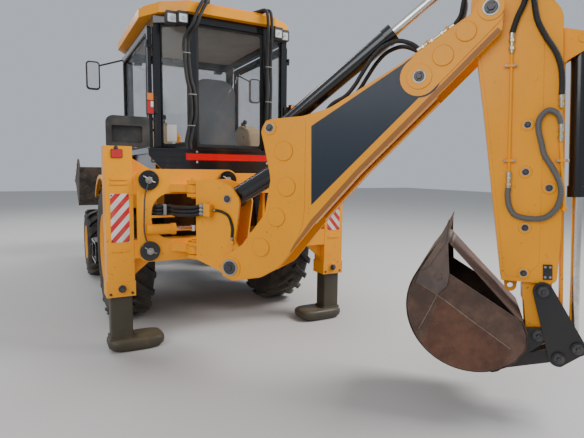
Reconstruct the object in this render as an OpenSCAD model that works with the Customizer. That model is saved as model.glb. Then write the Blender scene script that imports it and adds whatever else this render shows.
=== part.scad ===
// Backhoe loader with a side-shifting excavator carriage, in millimetres.
// X points to the machine's right, Y forward to the loader bucket, Z up from the ground.
// The rear axle stands at y = 0 before the whole model is moved to its own centre.

/* [Wheels] */
// Distance between the front and the rear axle
wheelbase = 2180; // [2120:1:2260]
// Middle to middle of the rear tyres
rear_track = 1748; // [1740:1:1800]
// Middle to middle of the front tyres
front_track = 1890; // [1860:1:1960]
// Outer diameter of a rear tyre, over its lugs
rear_tyre_d = 1432; // [1400:1:1450]
// Width of a rear tyre
rear_tyre_w = 430; // [400:1:440]
// Diameter at a rear rim's bead
rear_rim_d = 716; // [690:1:740]
// Outer diameter of a front tyre, over its lugs
front_tyre_d = 964; // [930:1:990]
// Width of a front tyre
front_tyre_w = 308; // [280:1:320]
// Diameter at a front rim's bead
front_rim_d = 462; // [440:1:480]
// Height of a tyre's lugs
lug_h = 34; // [20:1:40]
// Lugs along each shoulder of a rear tyre
rear_lugs = 20; // [14:1:24]
// Lugs along each shoulder of a front tyre
front_lugs = 17; // [12:1:20]

/* [Chassis] */
// Height of the frame rails' lower edge
rail_z = 840; // [830:1:850]
// Height of a frame rail
rail_h = 160; // [140:1:180]
// Middle of a frame rail from the centre plane
rail_x = 325; // [315:1:330]
// Thickness of a frame rail
rail_t = 30; // [20:1:34]
// Front end of the chassis
nose_y = 2660; // [2600:1:2680]
// Radius of the rear axle's casing
casing_r = 105; // [90:1:115]
// Side of the front axle's square beam
beam = 130; // [110:1:140]
// Kingpins from the centre plane
kingpin_x = 735; // [725:1:745]

/* [Stabilisers] */
// Middle of a stabiliser leg from the centre plane
leg_x = 1062; // [1055:1:1080]
// Middle of the stabiliser legs behind the rear axle
leg_y = 1054; // [1050:1:1062]
// Outer width of a leg's fixed box
leg_box_w = 220; // [212:1:224]
// Outer depth of a leg's fixed box
leg_box_d = 196; // [188:1:198]
// Wall of a leg's fixed box
leg_wall = 12; // [8:1:14]
// Height of a leg's fixed box above the ground
leg_box_z = 482; // [470:1:500]
// Top of a leg's fixed box
leg_top_z = 1752; // [1740:1:1760]
// Clearance between the sliding leg and its box, each side
leg_gap = 8; // [6:1:12]
// Length of a foot across the machine
foot_l = 480; // [440:1:500]
// Width of a foot along the machine
foot_w = 300; // [260:1:310]

/* [Rear frame] */
// Lower edge of the upper cross rail
top_rail_z = 1350; // [1340:1:1360]
// Height of the upper cross rail
top_rail_h = 186; // [170:1:190]
// Lower edge of the lower cross rail
low_rail_z = 802; // [790:1:810]
// Height of the lower cross rail
low_rail_h = 160; // [150:1:170]
// Depth of the cross rails
rail_d = 92; // [80:1:96]

/* [Carriage and kingpost] */
// Place of the slew axis across the machine, left of the centre
slew_x = -480; // [-520:1:-440]
// Slew axis behind the rear axle
slew_y = 1366; // [1360:1:1372]
// Angle of the boom from straight back to the right
slew_angle = 40.3; // [30:0.1:50]
// Half the distance between the clamps across the carriage
clamp_x = 350; // [340:1:360]
// Radius of a clamp's disc
clamp_r = 82; // [70:1:86]
// Slew cylinders ahead of the slew axis
slew_ram_y = 176; // [170:1:180]
// Heights of the left and the right slew cylinder
slew_ram_z = [1050, 1180];
// Thickness of the carriage's hinge ears
hinge_t = 66; // [60:1:70]
// Height of the lower hinge ear
hinge_low = 885; // [880:1:890]
// Height of the upper hinge ear
hinge_top = 1405; // [1400:1:1410]
// Thickness of the carriage's plate
carriage_t = 36; // [32:1:38]
// Boom foot pin from the slew axis
foot_r = 433; // [425:1:445]
// Height of the boom foot pin
foot_z = 797; // [785:1:805]
// Boom cylinder's foot from the slew axis
ram_foot_r = 378; // [370:1:385]
// Height of the boom cylinder's foot
ram_foot_z = 1336; // [1325:1:1345]

/* [Boom] */
// Boom foot pin to dipper pin
boom_l = 2533; // [2500:1:2560]
// Angle of the boom's pin line above the horizontal
boom_angle = 44.4; // [40:0.1:48]
// Outer width over the boom's side plates
boom_w = 340; // [334:1:344]
// Thickness of a boom side plate
boom_t = 22; // [16:1:24]

/* [Dipper] */
// Slope of the dipper's slide from the vertical
slide_angle = 3; // [2:0.1:4]
// Outer width of the outer dipper across its sides
dipper_w = 206; // [200:1:210]
// Thickness of the outer dipper's side plates
dipper_t = 12; // [8:1:14]
// Depth of the sliding dipper's section
inner_d = 168; // [160:1:172]
// Width of the sliding dipper's section
inner_w = 148; // [140:1:150]
// Dipper pin to bucket pin along the slide
bucket_pin_s = 2054; // [2030:1:2070]
// Bucket pin from the dipper pin across the slide
bucket_pin_h = 279; // [275:1:285]
// Dipper pin to the dipper cylinder's pin above it
crank_l = 400; // [390:1:410]

/* [Digging bucket] */
// Width of the digging bucket
bucket_w = 600; // [560:1:620]
// Thickness of its shell
bucket_t = 12; // [10:1:16]
// Radius of its round back
bucket_r = 405; // [395:1:410]
// Number of teeth
bucket_teeth = 4; // [3:1:5]

/* [Cylinders] */
// Foot pin to barrel end of the boom cylinder
boom_barrel_l = 1190; // [1150:1:1200]
// Rod length of the boom cylinder
boom_rod_l = 1285; // [1250:1:1290]
// Foot pin to barrel end of the dipper cylinder
crowd_barrel_l = 1078; // [1050:1:1100]
// Rod length of the dipper cylinder
crowd_rod_l = 1160; // [1120:1:1165]
// Foot pin to barrel end of the bucket cylinder
tip_barrel_l = 945; // [930:1:970]
// Rod length of the bucket cylinder
tip_rod_l = 1190; // [1170:1:1195]
// Foot pin to barrel end of a lift cylinder
lift_barrel_l = 930; // [920:1:940]
// Rod length of a lift cylinder
lift_rod_l = 970; // [960:1:980]
// Foot pin to barrel end of a loader tilt cylinder
tilt_barrel_l = 950; // [930:1:970]
// Rod length of a loader tilt cylinder
tilt_rod_l = 978; // [960:1:983]

/* [Loader] */
// Loader arm pin ahead of the rear axle
arm_pin_y = 1000; // [990:1:1010]
// Height of the loader arm pin
arm_pin_z = 1500; // [1490:1:1510]
// Arm pin to bucket pin
arm_l = 2250; // [2230:1:2270]
// Slope of the arm's pin line below the horizontal
arm_drop = 12.6; // [11:0.1:14]
// Middle of a loader arm from the centre plane
arm_x = 456; // [450:1:460]
// Inside half width of a loader tower
tower_in = 63; // [61:1:66]
// Thickness of a tower plate
tower_t = 24; // [18:1:26]
// Thickness of a loader arm
arm_t = 50; // [44:1:54]
// Width of the loader bucket
shovel_w = 2200; // [2150:1:2260]
// Roll-back of the loader bucket
shovel_tilt = 30; // [25:0.5:34]
// Thickness of the loader bucket's plates
shovel_t = 16; // [12:1:20]

/* [Cab] */
// Rear face of the cab behind the rear axle
cab_back = 951; // [940:1:960]
// Front face of the cab ahead of the rear axle
cab_front = 850; // [840:1:855]
// Half width of the cab at its doors
cab_half = 682; // [676:1:700]
// Half width of the cab between the rear wheels
cab_low_half = 636; // [620:1:642]
// Half width of the flat rear face
cab_rear_half = 393; // [380:1:410]
// Rear edge of the doors behind the rear axle
door_back = 770; // [760:1:780]
// Height of the window sill
sill_z = 1776; // [1760:1:1790]
// Underside of the roof
roof_z = 2956; // [2930:1:2970]
// Thickness of the roof
roof_h = 112; // [100:1:120]
// Side of a cab post
post = 58; // [50:1:62]
// Thickness of the cab's walls
cab_wall = 36; // [30:1:40]
// Thickness of the window panes
pane = 8; // [6:1:10]
// Top of the engine hood at the cab
hood_top_z = 1690; // [1670:1:1710]
// Half width of the hood
hood_half = 355; // [345:1:358]

/* [Hoses and fittings] */
// Diameter of a guarded pressure hose
hose_d = 36; // [28:1:42]
// Diameter of a plain hose
thin_hose_d = 30; // [22:1:34]
// Diameter of a steel pipe
pipe_d = 20; // [16:1:24]
// Height of the raised discs and bosses on the boom and the dipper
boss_h = 5; // [3:1:8]
// Height of the box on top of a stabiliser
cap_box_h = 250; // [200:1:280]
// Diameter of the exhaust pipe
exhaust_d = 76; // [60:1:90]

/* [Fits] */
// Radial clearance of a pin in its bore
pin_gap = 0.1; // [0.05:0.01:0.1]
// Side clearance between pinned pieces
side_gap = 5; // [5:0.5:6]
// Clearance between pieces that only rest on each other
seat_gap = 0.3; // [0.2:0.05:0.5]

/* [Hidden] */
// Heights of the door hinges, and their pins
hinge_heights = [1960, 2720];
door_pin_x = cab_half + 50;
door_pin_y = -door_back + post - 4;
// Hinge line of the hood and the middles of its two hinges
hood_pin = [892, hood_top_z + 8];
hood_pins = [-240, 240];
// Radius of the rear axle's hub shafts
hub_shaft_r = 60;
$fn = 48;

yellow = "goldenrod";
charcoal = "dimgray";
black = "black";
steel = "silver";
rubber = "darkslategray";

// Middle of the whole model's box, which becomes the origin
centre_x = 154;
centre_y = 273;

// Plane geometry: points on an arc, a rounded outline and a link's outline
function arc(c, r, a0, a1, n = 10) =
    [for (i = [0:n]) c + r * [cos(a0 + (a1 - a0) * i / n), sin(a0 + (a1 - a0) * i / n)]];
function wrap(a) = a - 360 * floor((a + 180) / 360);
function corner(a, b, c, r) =
    let (u = (a - b) / norm(a - b), v = (c - b) / norm(c - b), half = acos(u * v) / 2)
    let (o = b + (u + v) / norm(u + v) * r / sin(half))
    let (p = b + u * r / tan(half) - o, q = b + v * r / tan(half) - o)
    let (a0 = atan2(p[1], p[0]))
    arc(o, r, a0, a0 + wrap(atan2(q[1], q[0]) - a0), 6);
function flat(p) = [p[0], p[1]];
function rounded(p) = let (n = len(p))
    [for (i = [0:n - 1]) each p[i][2] > 0
        ? corner(flat(p[(i + n - 1) % n]), flat(p[i]), flat(p[(i + 1) % n]), p[i][2])
        : [flat(p[i])]];
function link_pts(p, q, rp, rq) =
    let (d = q - p, a = atan2(d[1], d[0]), k = acos((rp - rq) / norm(d)))
    concat(arc(p, rp, a + k, a + 360 - k, 14), arc(q, rq, a - k, a + k, 14));
function polar(r, a) = r * [cos(a), sin(a)];
function place(o, a, p) = o + [p[0] * cos(a) - p[1] * sin(a), p[0] * sin(a) + p[1] * cos(a)];
function placed(o, a, pts) = [for (p = pts) place(o, a, p)];
function heading(p, q) = atan2(q[1] - p[1], q[0] - p[0]);

// A smooth curve through points, k stretches to a span
function curve_at(p, i, s) =
    let (a = p[max(i - 1, 0)], b = p[i], c = p[i + 1], d = p[min(i + 2, len(p) - 1)])
    b + s * (c - a) / 2 + s * s * (a - 2.5 * b + 2 * c - d / 2) + s * s * s * (1.5 * (b - c) + (d - a) / 2);
function curve(p, k) = concat([for (i = [0:len(p) - 2], j = [0:k - 1]) curve_at(p, i, j / k)], [p[len(p) - 1]]);
// The next ring of a hose: each point of this one carried along the stretch to the mitre plane at its end
function unit(v) = v / norm(v);
function carried(ring, q, d, m) = [for (p = ring) p + d * ((q - p) * m) / (d * m)];
function hose_ring(ring, path, k) =
    let (d = unit(path[k] - path[k - 1]), e = k < len(path) - 1 ? unit(path[k + 1] - path[k]) : d)
    carried(ring, path[k], d, d + e);
// A point given as distance out from the slew axis, height, and offset to the machine's left of the boom
function out(p) = [-p[2], -p[0], p[1]];

// Pins of the excavator in its own plane, as distance from the slew axis and height
boom_foot = [foot_r, foot_z];
ram_foot = [ram_foot_r, ram_foot_z];
dipper_pin = boom_foot + polar(boom_l, boom_angle);
slide_dir = slide_angle - 90;
ram_eye = place(boom_foot, boom_angle, [1970, 12]);
crowd_foot = place(boom_foot, boom_angle, [997, 539]);
crowd_eye = place(dipper_pin, slide_dir, [-crank_l, -10]);
bucket_pin = place(dipper_pin, slide_dir, [bucket_pin_s, bucket_pin_h]);
lever_pin = place(bucket_pin, slide_dir, [-296, 20]);
tip_foot = place(bucket_pin, slide_dir, [-1825, 226]);
tip_eye = place(bucket_pin, slide_dir, [54, 212]);
link_pin = place(bucket_pin, slide_dir, [125, 109]);
ear_pin = bucket_pin + [-261, -241];

// Pins of the loader in its own plane, as distance ahead of the rear axle and height
arm_pin = [arm_pin_y, arm_pin_z];
shovel_pin = arm_pin + polar(arm_l, -arm_drop);
lift_foot = [760, 650];
lift_eye = place(arm_pin, -arm_drop, [1100, -238]);
tilt_foot = place(arm_pin, -arm_drop, [900, 250]);
tilt_eye = place(shovel_pin, shovel_tilt, [20, 330]);

// Moves the whole model so that its box stands on the origin
module centred() translate([-centre_x, -centre_y, 0]) children();

// Turns the excavator's plane into place and out to its side
module excavator()
    translate([slew_x, -slew_y, 0]) rotate([0, 0, slew_angle]) children();

// A slab whose outline lies in the excavator's plane, xc being its middle across
module out_slab(xc, w)
    translate([xc + w / 2, 0, 0]) rotate([90, 0, -90]) linear_extrude(w) children();

// A slab whose outline lies along the machine, xc being its middle across
module slab(xc, w)
    translate([xc - w / 2, 0, 0]) rotate([90, 0, 90]) linear_extrude(w) children();

// A pin or tube across the excavator's plane at a point p
module out_pin(p, xc, w, r)
    translate([xc - w / 2, -p[0], p[1]]) rotate([0, 90, 0]) cylinder(h = w, r = r);

// A pin or tube across the machine at a point p
module cross_pin(p, xc, w, r)
    translate([xc - w / 2, p[0], p[1]]) rotate([0, 90, 0]) cylinder(h = w, r = r);

// A box from one corner to the other
module block(a, b) translate(a) cube(b - a);

// The same piece on both sides
module both() {
    children();
    mirror([1, 0, 0]) children();
}

// A hose with eight flats through points; its joints between stretches are mitred
module hose(points, d, k = 3) {
    n = 8;
    path = curve(points, k);
    last = len(path) - 1;
    d0 = unit(path[1] - path[0]);
    a = unit(cross(d0, abs(d0[2]) < 0.8 ? [0, 0, 1] : [1, 0, 0]));
    b = cross(d0, a);
    first = [for (j = [0:n - 1]) path[0] + d / 2 * (cos(360 * j / n) * a + sin(360 * j / n) * b)];
    rings = [for (i = 0, ring = first; i <= last; i = i + 1, ring = i <= last ? hose_ring(ring, path, i) : ring) ring];
    polyhedron(
        points = [for (ring = rings) each ring],
        faces = concat([[for (j = [0:n - 1]) j]],
            [for (i = [0:last - 1], j = [0:n - 1]) [i * n + j, (i + 1) * n + j, (i + 1) * n + (j + 1) % n, i * n + (j + 1) % n]],
            [[for (j = [n - 1:-1:0]) last * n + j]]));
}

// A round bar from one point to another
module bar(p, q, r) {
    d = q - p;
    translate(p) rotate([0, acos(d[2] / norm(d)), atan2(d[1], d[0])]) cylinder(h = norm(d), r = r);
}

// A tyre around the X axis with its middle at the origin; side is 1 or -1 for the lugs' lean
module tyre(d, w, rim_d, lugs, side) {
    r = d / 2 - lug_h;
    rim_r = rim_d / 2;
    h = w / 2;
    section = [
        [rim_r, h * 0.80], [rim_r + 14, h * 0.88], [rim_r + (r - rim_r) * 0.30, h * 0.97],
        [rim_r + (r - rim_r) * 0.52, h], [rim_r + (r - rim_r) * 0.72, h * 0.97],
        [r - 30, h * 0.86], [r - 8, h * 0.70], [r, h * 0.45]
    ];
    mirrored = [for (i = [len(section) - 1:-1:0]) [section[i][0], -section[i][1]]];
    color(rubber) union() {
        rotate([0, 90, 0]) difference() {
            rotate_extrude($fn = 72) polygon(concat(section, mirrored));
            cylinder(h = w + 2, r = rim_r, center = true, $fn = 72);
        }
        intersection() {
            rotate([0, 90, 0]) rotate_extrude($fn = 72) polygon([
                [r - 60, -h], [r + 4, -h * 0.94], [d / 2, -h * 0.74], [d / 2, h * 0.74], [r + 4, h * 0.94], [r - 60, h]]);
            for (s = [-1, 1], i = [0:lugs - 1])
                rotate([(i + (s + 1) / 4) * 360 / lugs, 0, 0])
                    translate([s * h * 0.46, 0, r - 14])
                        rotate([0, 0, -s * 42 * side])
                            lug(h, d / 2 - r + 24);
        }
    }
}

// One lug: a bar with sloped flanks, longer than the half tread is wide
module lug(h, tall)
    rotate([90, 0, 90]) translate([0, 0, -h * 0.66]) linear_extrude(h * 1.32)
        polygon([[-32, 0], [32, 0], [20, tall], [-20, tall]]);

// A rim around the X axis with its middle at the origin; its dish opens to side x > 0
module rim(d, w, hub_r, hub_in, bolt_r, bolts) {
    r = d / 2 - seat_gap;
    h = w / 2;
    color(yellow) union() {
        rotate([0, 90, 0]) rotate_extrude($fn = 72) polygon([
            [hub_r * 0.55, -hub_in], [hub_r, -hub_in], [hub_r, -hub_in + 60], [r - 60, -10], [r - 12, -40],
            [r - 24, -h * 0.80], [r + 12, -h * 0.88 - 14], [r + 12, -h * 0.88 - 3], [r, -h * 0.80 - 2],
            [r, h * 0.80 + 2], [r + 12, h * 0.88 + 3], [r + 12, h * 0.88 + 14], [r - 24, h * 0.80],
            [r - 12, -14], [r - 58, 16], [hub_r + 26, 10], [hub_r + 14, 30], [hub_r * 0.6, 64],
            [0, 64], [0, -hub_in + 20], [hub_r * 0.55, -hub_in + 20]
        ]);
        for (i = [0:bolts - 1])
            rotate([i * 360 / bolts, 0, 0]) translate([0, 0, bolt_r]) rotate([0, 90, 0])
                cylinder(h = 36, r = 15, $fn = 6);
    }
}

module wheel_at(x, y, d) translate([x, y, d / 2]) children();

// Frame rails, cross members, front plate and the front axle's cradle
module chassis() centred() color(charcoal) {
    rail_end = -leg_y + leg_box_d / 2 - 4;
    difference() {
        union() {
            both() block([rail_x - rail_t / 2, rail_end, rail_z], [rail_x + rail_t / 2, nose_y, rail_z + rail_h]);
            for (y = [-620, 300, 2320])
                block([-rail_x, y, rail_z + 30], [rail_x, y + 90, rail_z + rail_h - 30]);
            block([-rail_x - rail_t / 2, nose_y - 60, rail_z - 120], [rail_x + rail_t / 2, nose_y, rail_z + rail_h]);
            for (y = [wheelbase - 118, wheelbase + 92])
                block([-190, y, front_tyre_d / 2 - 20], [190, y + 26, rail_z + 40]);
            both() block([190, wheelbase - 118, rail_z - 30], [rail_x, wheelbase + 118, rail_z + 40]);
        }
        for (x = [-240, 240])
            translate([x, nose_y, rail_z - 60]) rotate([90, 0, 0]) cylinder(h = 140, r = 22, center = true);
    }
}

// Fixed leg boxes, the two cross rails between them and their gussets
module rear_frame() centred() color(yellow) {
    in_x = leg_x - leg_box_w / 2;
    back = -leg_y - leg_box_d / 2;
    rail_back = -slew_y + 216;
    difference() {
        union() {
            both() block([in_x, back, leg_box_z], [in_x + leg_box_w, back + leg_box_d, leg_top_z]);
            both() for (z = [1432, 1470, 868])
                block([in_x + 44, back - 6, z], [in_x + leg_box_w - 44, back + 1, z + 20]);
            both() block([in_x - 6, back - 2, leg_box_z], [in_x + leg_box_w + 10, back + leg_box_d + 10, leg_box_z + 130]);
            block([-in_x, rail_back, top_rail_z], [in_x, rail_back + rail_d, top_rail_z + top_rail_h]);
            block([-in_x, rail_back, low_rail_z], [in_x, rail_back + rail_d, low_rail_z + low_rail_h]);
            both() translate([0, rail_back + rail_d, 0]) rotate([90, 0, 0]) linear_extrude(24)
                polygon([[in_x + 2, leg_top_z - 90], [in_x + 2, top_rail_z + 40], [in_x - 200, top_rail_z + 40],
                    [in_x - 200, top_rail_z + top_rail_h]]);
            both() translate([0, rail_back + rail_d, 0]) rotate([90, 0, 0]) linear_extrude(24)
                polygon([[in_x + 2, low_rail_z + 60], [in_x + 2, low_rail_z - 160], [in_x - 190, low_rail_z],
                    [in_x - 190, low_rail_z + 60]]);
            both() slab(rail_x - rail_t / 2 - 12 - seat_gap, 24) polygon([
                [rail_back + rail_d, low_rail_z], [rail_back + rail_d, top_rail_z + top_rail_h],
                [-cab_back + 40, rail_z + rail_h], [-640, rail_z + rail_h], [-640, rail_z], [-800, low_rail_z]]);
        }
        both() block([leg_x - leg_box_w / 2 + leg_wall, -leg_y - leg_box_d / 2 + leg_wall, leg_box_z - 1],
            [leg_x + leg_box_w / 2 - leg_wall, -leg_y + leg_box_d / 2 - leg_wall, leg_top_z - leg_wall]);
    }
}

// Casing of the rear axle with its differential and the brackets under the rails
module rear_axle() centred() color(charcoal) {
    z = rear_tyre_d / 2;
    end = rear_track / 2 - 330;
    translate([0, 0, z]) rotate([0, 90, 0]) cylinder(h = 2 * end, r = casing_r, center = true);
    translate([0, 0, z]) rotate([0, 90, 0]) cylinder(h = 2 * end + 200, r = hub_shaft_r, center = true);
    translate([0, 0, z]) rotate([90, 0, 0]) cylinder(h = 300, r1 = 190, r2 = 150, center = true);
    both() block([rail_x - 55, -110, z + 20], [rail_x + 55, 110, rail_z]);
}

// Beam of the front axle with its centre boss and kingpin eyes
module front_axle() centred() color(charcoal) {
    z = front_tyre_d / 2;
    eye_h = 150;
    difference() {
        union() {
            block([-kingpin_x + 30, wheelbase - beam / 2, z - beam / 2], [kingpin_x - 30, wheelbase + beam / 2, z + beam / 2]);
            translate([0, wheelbase, z + 20]) rotate([90, 0, 0]) cylinder(h = 183, r = 105, center = true);
            both() translate([kingpin_x, wheelbase, z - eye_h / 2]) cylinder(h = eye_h, r = 58);
        }
        both() translate([kingpin_x, wheelbase, z - eye_h]) cylinder(h = 2 * eye_h, r = 24 + pin_gap);
    }
}

// Engine, gearbox and the two shafts as plain masses
module driveline() centred() color("slategray") {
    block([-235, 1320, rail_z - 120], [235, 2200 - 150, 1480]);
    block([-170, 620, rail_z - 180], [170, 1320, rail_z + 120]);
    translate([0, 620, rear_tyre_d / 2]) rotate([90, 0, 0]) cylinder(h = 470 - seat_gap, r = 38);
}

// Paired tower plates that carry the arms and the lift cylinders' feet
module loader_towers() centred() color(yellow) {
    for (s = [-1, 1], x = [arm_x - tower_in - tower_t / 2, arm_x + tower_in + tower_t / 2]) slab(s * x, tower_t) difference() {
        polygon(concat([[690, 590], [840, 570], [1150, 860], [1150, 1200]],
            arc(arm_pin, 92, -20, 190), [[872, 1300], [872, rail_z + rail_h - 10], [690, 850]]));
    }
    both() block([arm_x - tower_in - 2, 872, rail_z + rail_h], [arm_x + tower_in + 2, 890, 1380]);
    both() block([rail_x + rail_t / 2 + seat_gap, 720, rail_z + 20], [arm_x - tower_in - 2, 1130, rail_z + rail_h - 20]);
    both() cross_pin(arm_pin, arm_x, 2 * tower_in + 2 * tower_t + 20, 32);
    both() cross_pin(lift_foot, arm_x, 2 * tower_in + 2 * tower_t + 12, 26);
}

// Fuel tank with steps; side is -1 on the left
module tank(side) {
    x0 = arm_x + 110;
    x1 = 960;
    y0 = rear_tyre_d / 2 + 62;
    y1 = 1330;
    color(black) union() {
        mirror([side > 0 ? 0 : 1, 0, 0]) {
            rotate([90, 0, 0]) translate([0, 0, -y1]) linear_extrude(y1 - y0)
                polygon(rounded([[x0, 460, 30], [x1, 460, 50], [x1, 900, 50], [x0, 900, 30]]));
            for (y = [900, 1050])
                block([arm_x + tower_in + tower_t + seat_gap, y, 760], [x0 + 40, y + 60, 800]);
            for (z = [400, 640])
                block([x1 - 10, y0 + 60, z], [x1 + 130, y1 - 60, z + 30]);
            for (y = [y0 + 60, y1 - 84])
                block([x1 + 100, y, 400], [x1 + 124, y + 24, 660]);
        }
    }
}
module tanks() centred() {
    tank(-1);
    tank(1);
}

// Floor, lower walls, the panels under the windows and the dark panel across the back
module cab_base() centred() {
    floor_z = rail_z + rail_h + seat_gap;
    low = cab_low_half;
    belt_z = 1500;
    ledge_z = leg_top_z;
    color(charcoal) difference() {
        union() {
            difference() {
                block([-low, -cab_back + 55, floor_z], [low, cab_front - 50, belt_z]);
                block([-low + cab_wall, -cab_back + 55 + cab_wall, floor_z + cab_wall], [low - cab_wall, cab_front - 50 - cab_wall, belt_z + 1]);
            }
            translate([0, 0, belt_z]) difference() {
                linear_extrude(sill_z - belt_z) polygon(cab_plan(0));
                translate([0, 0, -1]) linear_extrude(sill_z) polygon(cab_plan(cab_wall));
            }
            block([-low, cab_front - 52, belt_z - 20], [low, cab_front, belt_z + cab_wall]);
            block([-low, -cab_back + 20, belt_z], [low, -cab_back + 57, belt_z + cab_wall]);
            for (s = [-1, 1])
                block([s > 0 ? low - 20 : -cab_half + 1, -door_back, belt_z], [s > 0 ? cab_half - 1 : -low + 20, cab_front, belt_z + cab_wall]);
            translate([0, -cab_back - 24, 0]) rotate([90, 0, 0]) linear_extrude(34)
                polygon(rounded([[-790, ledge_z, 20], [-790, 1690, 30], [-660, 1541, 40], [660, 1541, 40], [790, 1690, 30], [790, ledge_z, 20]]));
            translate([0, 0, ledge_z - 30]) linear_extrude(30) difference() {
                polygon([[-790, -cab_back - 30], [790, -cab_back - 30], [700, -door_back + 4], [-700, -door_back + 4]]);
                polygon(cab_plan(10));
            }
        }
        for (s = [-1, 1]) slab(s * cab_half, 4 * post) polygon(rounded(door_outline(26)));
    }
    color(charcoal) for (x = hood_pins) {
        for (s = [-1, 1])
            block([x + s * 40 - 8, cab_front - 2, hood_pin[1] - 16], [x + s * 40 + 8, hood_pin[0] + 14, hood_pin[1] + 16]);
        cross_pin(hood_pin, x, 96, 7);
    }
}
function cab_plan(inset) = let (h = cab_half - inset, r = cab_rear_half - inset * 0.4)
    [[-h, cab_front - inset], [-h, -door_back], [-r, -cab_back + inset], [r, -cab_back + inset], [h, -door_back], [h, cab_front - inset]];

// Posts and roof beams around the windows
module cab_frame() centred() color(charcoal) {
    posts = [[cab_half - post / 2, cab_front - post / 2], [cab_half - post / 2, -door_back + post / 2], [cab_rear_half - post / 2, -cab_back + post / 2]];
    for (s = [-1, 1], p = posts)
        block([s * p[0] - post / 2, p[1] - post / 2, sill_z], [s * p[0] + post / 2, p[1] + post / 2, roof_z - 70]);
    translate([0, 0, roof_z - 70]) linear_extrude(70) difference() {
        polygon(cab_plan(0));
        polygon(cab_plan(post));
    }
    both() for (z = hinge_heights) {
        block([cab_half - 2, door_pin_y - 12, z - 44], [door_pin_x, door_pin_y + 7, z - 20]);
        translate([door_pin_x, door_pin_y, z - 44]) cylinder(h = 24, r = 12);
        translate([door_pin_x, door_pin_y, z - 30]) cylinder(h = 54, r = 6);
    }
}

// Roof shell, wider than the posts, with cut corners
module cab_roof() centred() color(yellow) {
    plan = [[640, cab_front + 130], [780, cab_front - 120], [780, -620], [650, -860], [430, -cab_back - 70]];
    outline = concat(plan, [for (i = [len(plan) - 1:-1:0]) [-plan[i][0], plan[i][1]]]);
    translate([0, 0, roof_z]) union() {
        linear_extrude(roof_h - 36) polygon(outline);
        translate([0, 0, roof_h - 36]) linear_extrude(36) polygon([for (p = outline) [p[0] * 0.95, p[1] * 0.95]]);
    }
}

// Fixed panes: windscreen, two quarter panes and the rear window
module cab_glass() centred() color("lightblue", 0.4) {
    top = roof_z - 70 - seat_gap;
    z0 = sill_z + seat_gap;
    a = [cab_half - post, -door_back + post * 0.4];
    b = [cab_rear_half + seat_gap * 4, -cab_back + post * 0.4];
    block([-cab_half + post + seat_gap, cab_front - post / 2, z0], [cab_half - post - seat_gap, cab_front - post / 2 + pane, top]);
    block([-cab_rear_half + post + seat_gap, -cab_back + post / 2, z0], [cab_rear_half - post - seat_gap, -cab_back + post / 2 + pane, top]);
    for (s = [-1, 1]) translate([0, 0, z0]) linear_extrude(top - z0)
        polygon([[s * a[0], a[1]], [s * b[0], b[1]], [s * b[0], b[1] + pane], [s * a[0], a[1] + pane]]);
}

// Pedestals, seat base, steering column and side consoles
module cab_interior() centred() color("tan") {
    floor_z = rail_z + rail_h + cab_wall + 2 * seat_gap;
    block([-220, -330, floor_z], [220, 190, floor_z + 380]);
    block([-150, 560, floor_z], [150, cab_front - 50 - cab_wall, floor_z + 560]);
    both() slab(520, 130) polygon([[-420, floor_z], [300, floor_z], [300, 1560], [120, 1980], [-120, 2040], [-420, 1700]]);
    translate([0, 640, floor_z + 560]) rotate([25, 0, 0]) {
        translate([0, 0, -60]) cylinder(h = 280, r = 28);
        translate([0, 0, 215]) cylinder(h = 24, r = 190);
    }
}

// The operator's chair: cushion and backrest, soft
module seat_cushion() centred() color("gray") {
    z = rail_z + rail_h + cab_wall + 380 + 3 * seat_gap;
    union() {
        block([-250, -300, z], [250, 200, z + 120]);
        block([-240, -420, z], [240, -290, z + 780]);
    }
}

// Mudguards over the rear wheels
module fenders() centred() color(yellow) {
    r = rear_tyre_d / 2 + 56;
    both() translate([0, 0, rear_tyre_d / 2]) rotate([0, 90, 0]) rotate([0, 0, 180 - 46])
        rotate_extrude(angle = 98, $fn = 96) translate([r, 0])
            polygon([[0, cab_low_half + seat_gap], [12, cab_low_half + seat_gap], [12, 1096], [-26, 1096], [-26, 1086], [0, 1086]]);
}

// Work lamps under the roof and tail lamps on the rear posts
module lamps() centred() {
    color("white") for (s = [-1, 1], p = [[470, -cab_back - 20, roof_z - 62 - seat_gap], [560, -926, roof_z - 62 - seat_gap], [520, cab_front + 70, roof_z - 62 - seat_gap]])
        block([s * p[0] - 45, p[1] - 40, p[2] - 45], [s * p[0] + 45, p[1] + 40, p[2] + 62]);
    color("red") both() {
        block([cab_half + 22, -door_back - 62, 2060], [cab_half + 80, -door_back - 14, 2252]);
        block([cab_half - 26, -door_back - 16, 2080], [cab_half + 70, -door_back - seat_gap, 2232]);
    }
}

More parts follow.
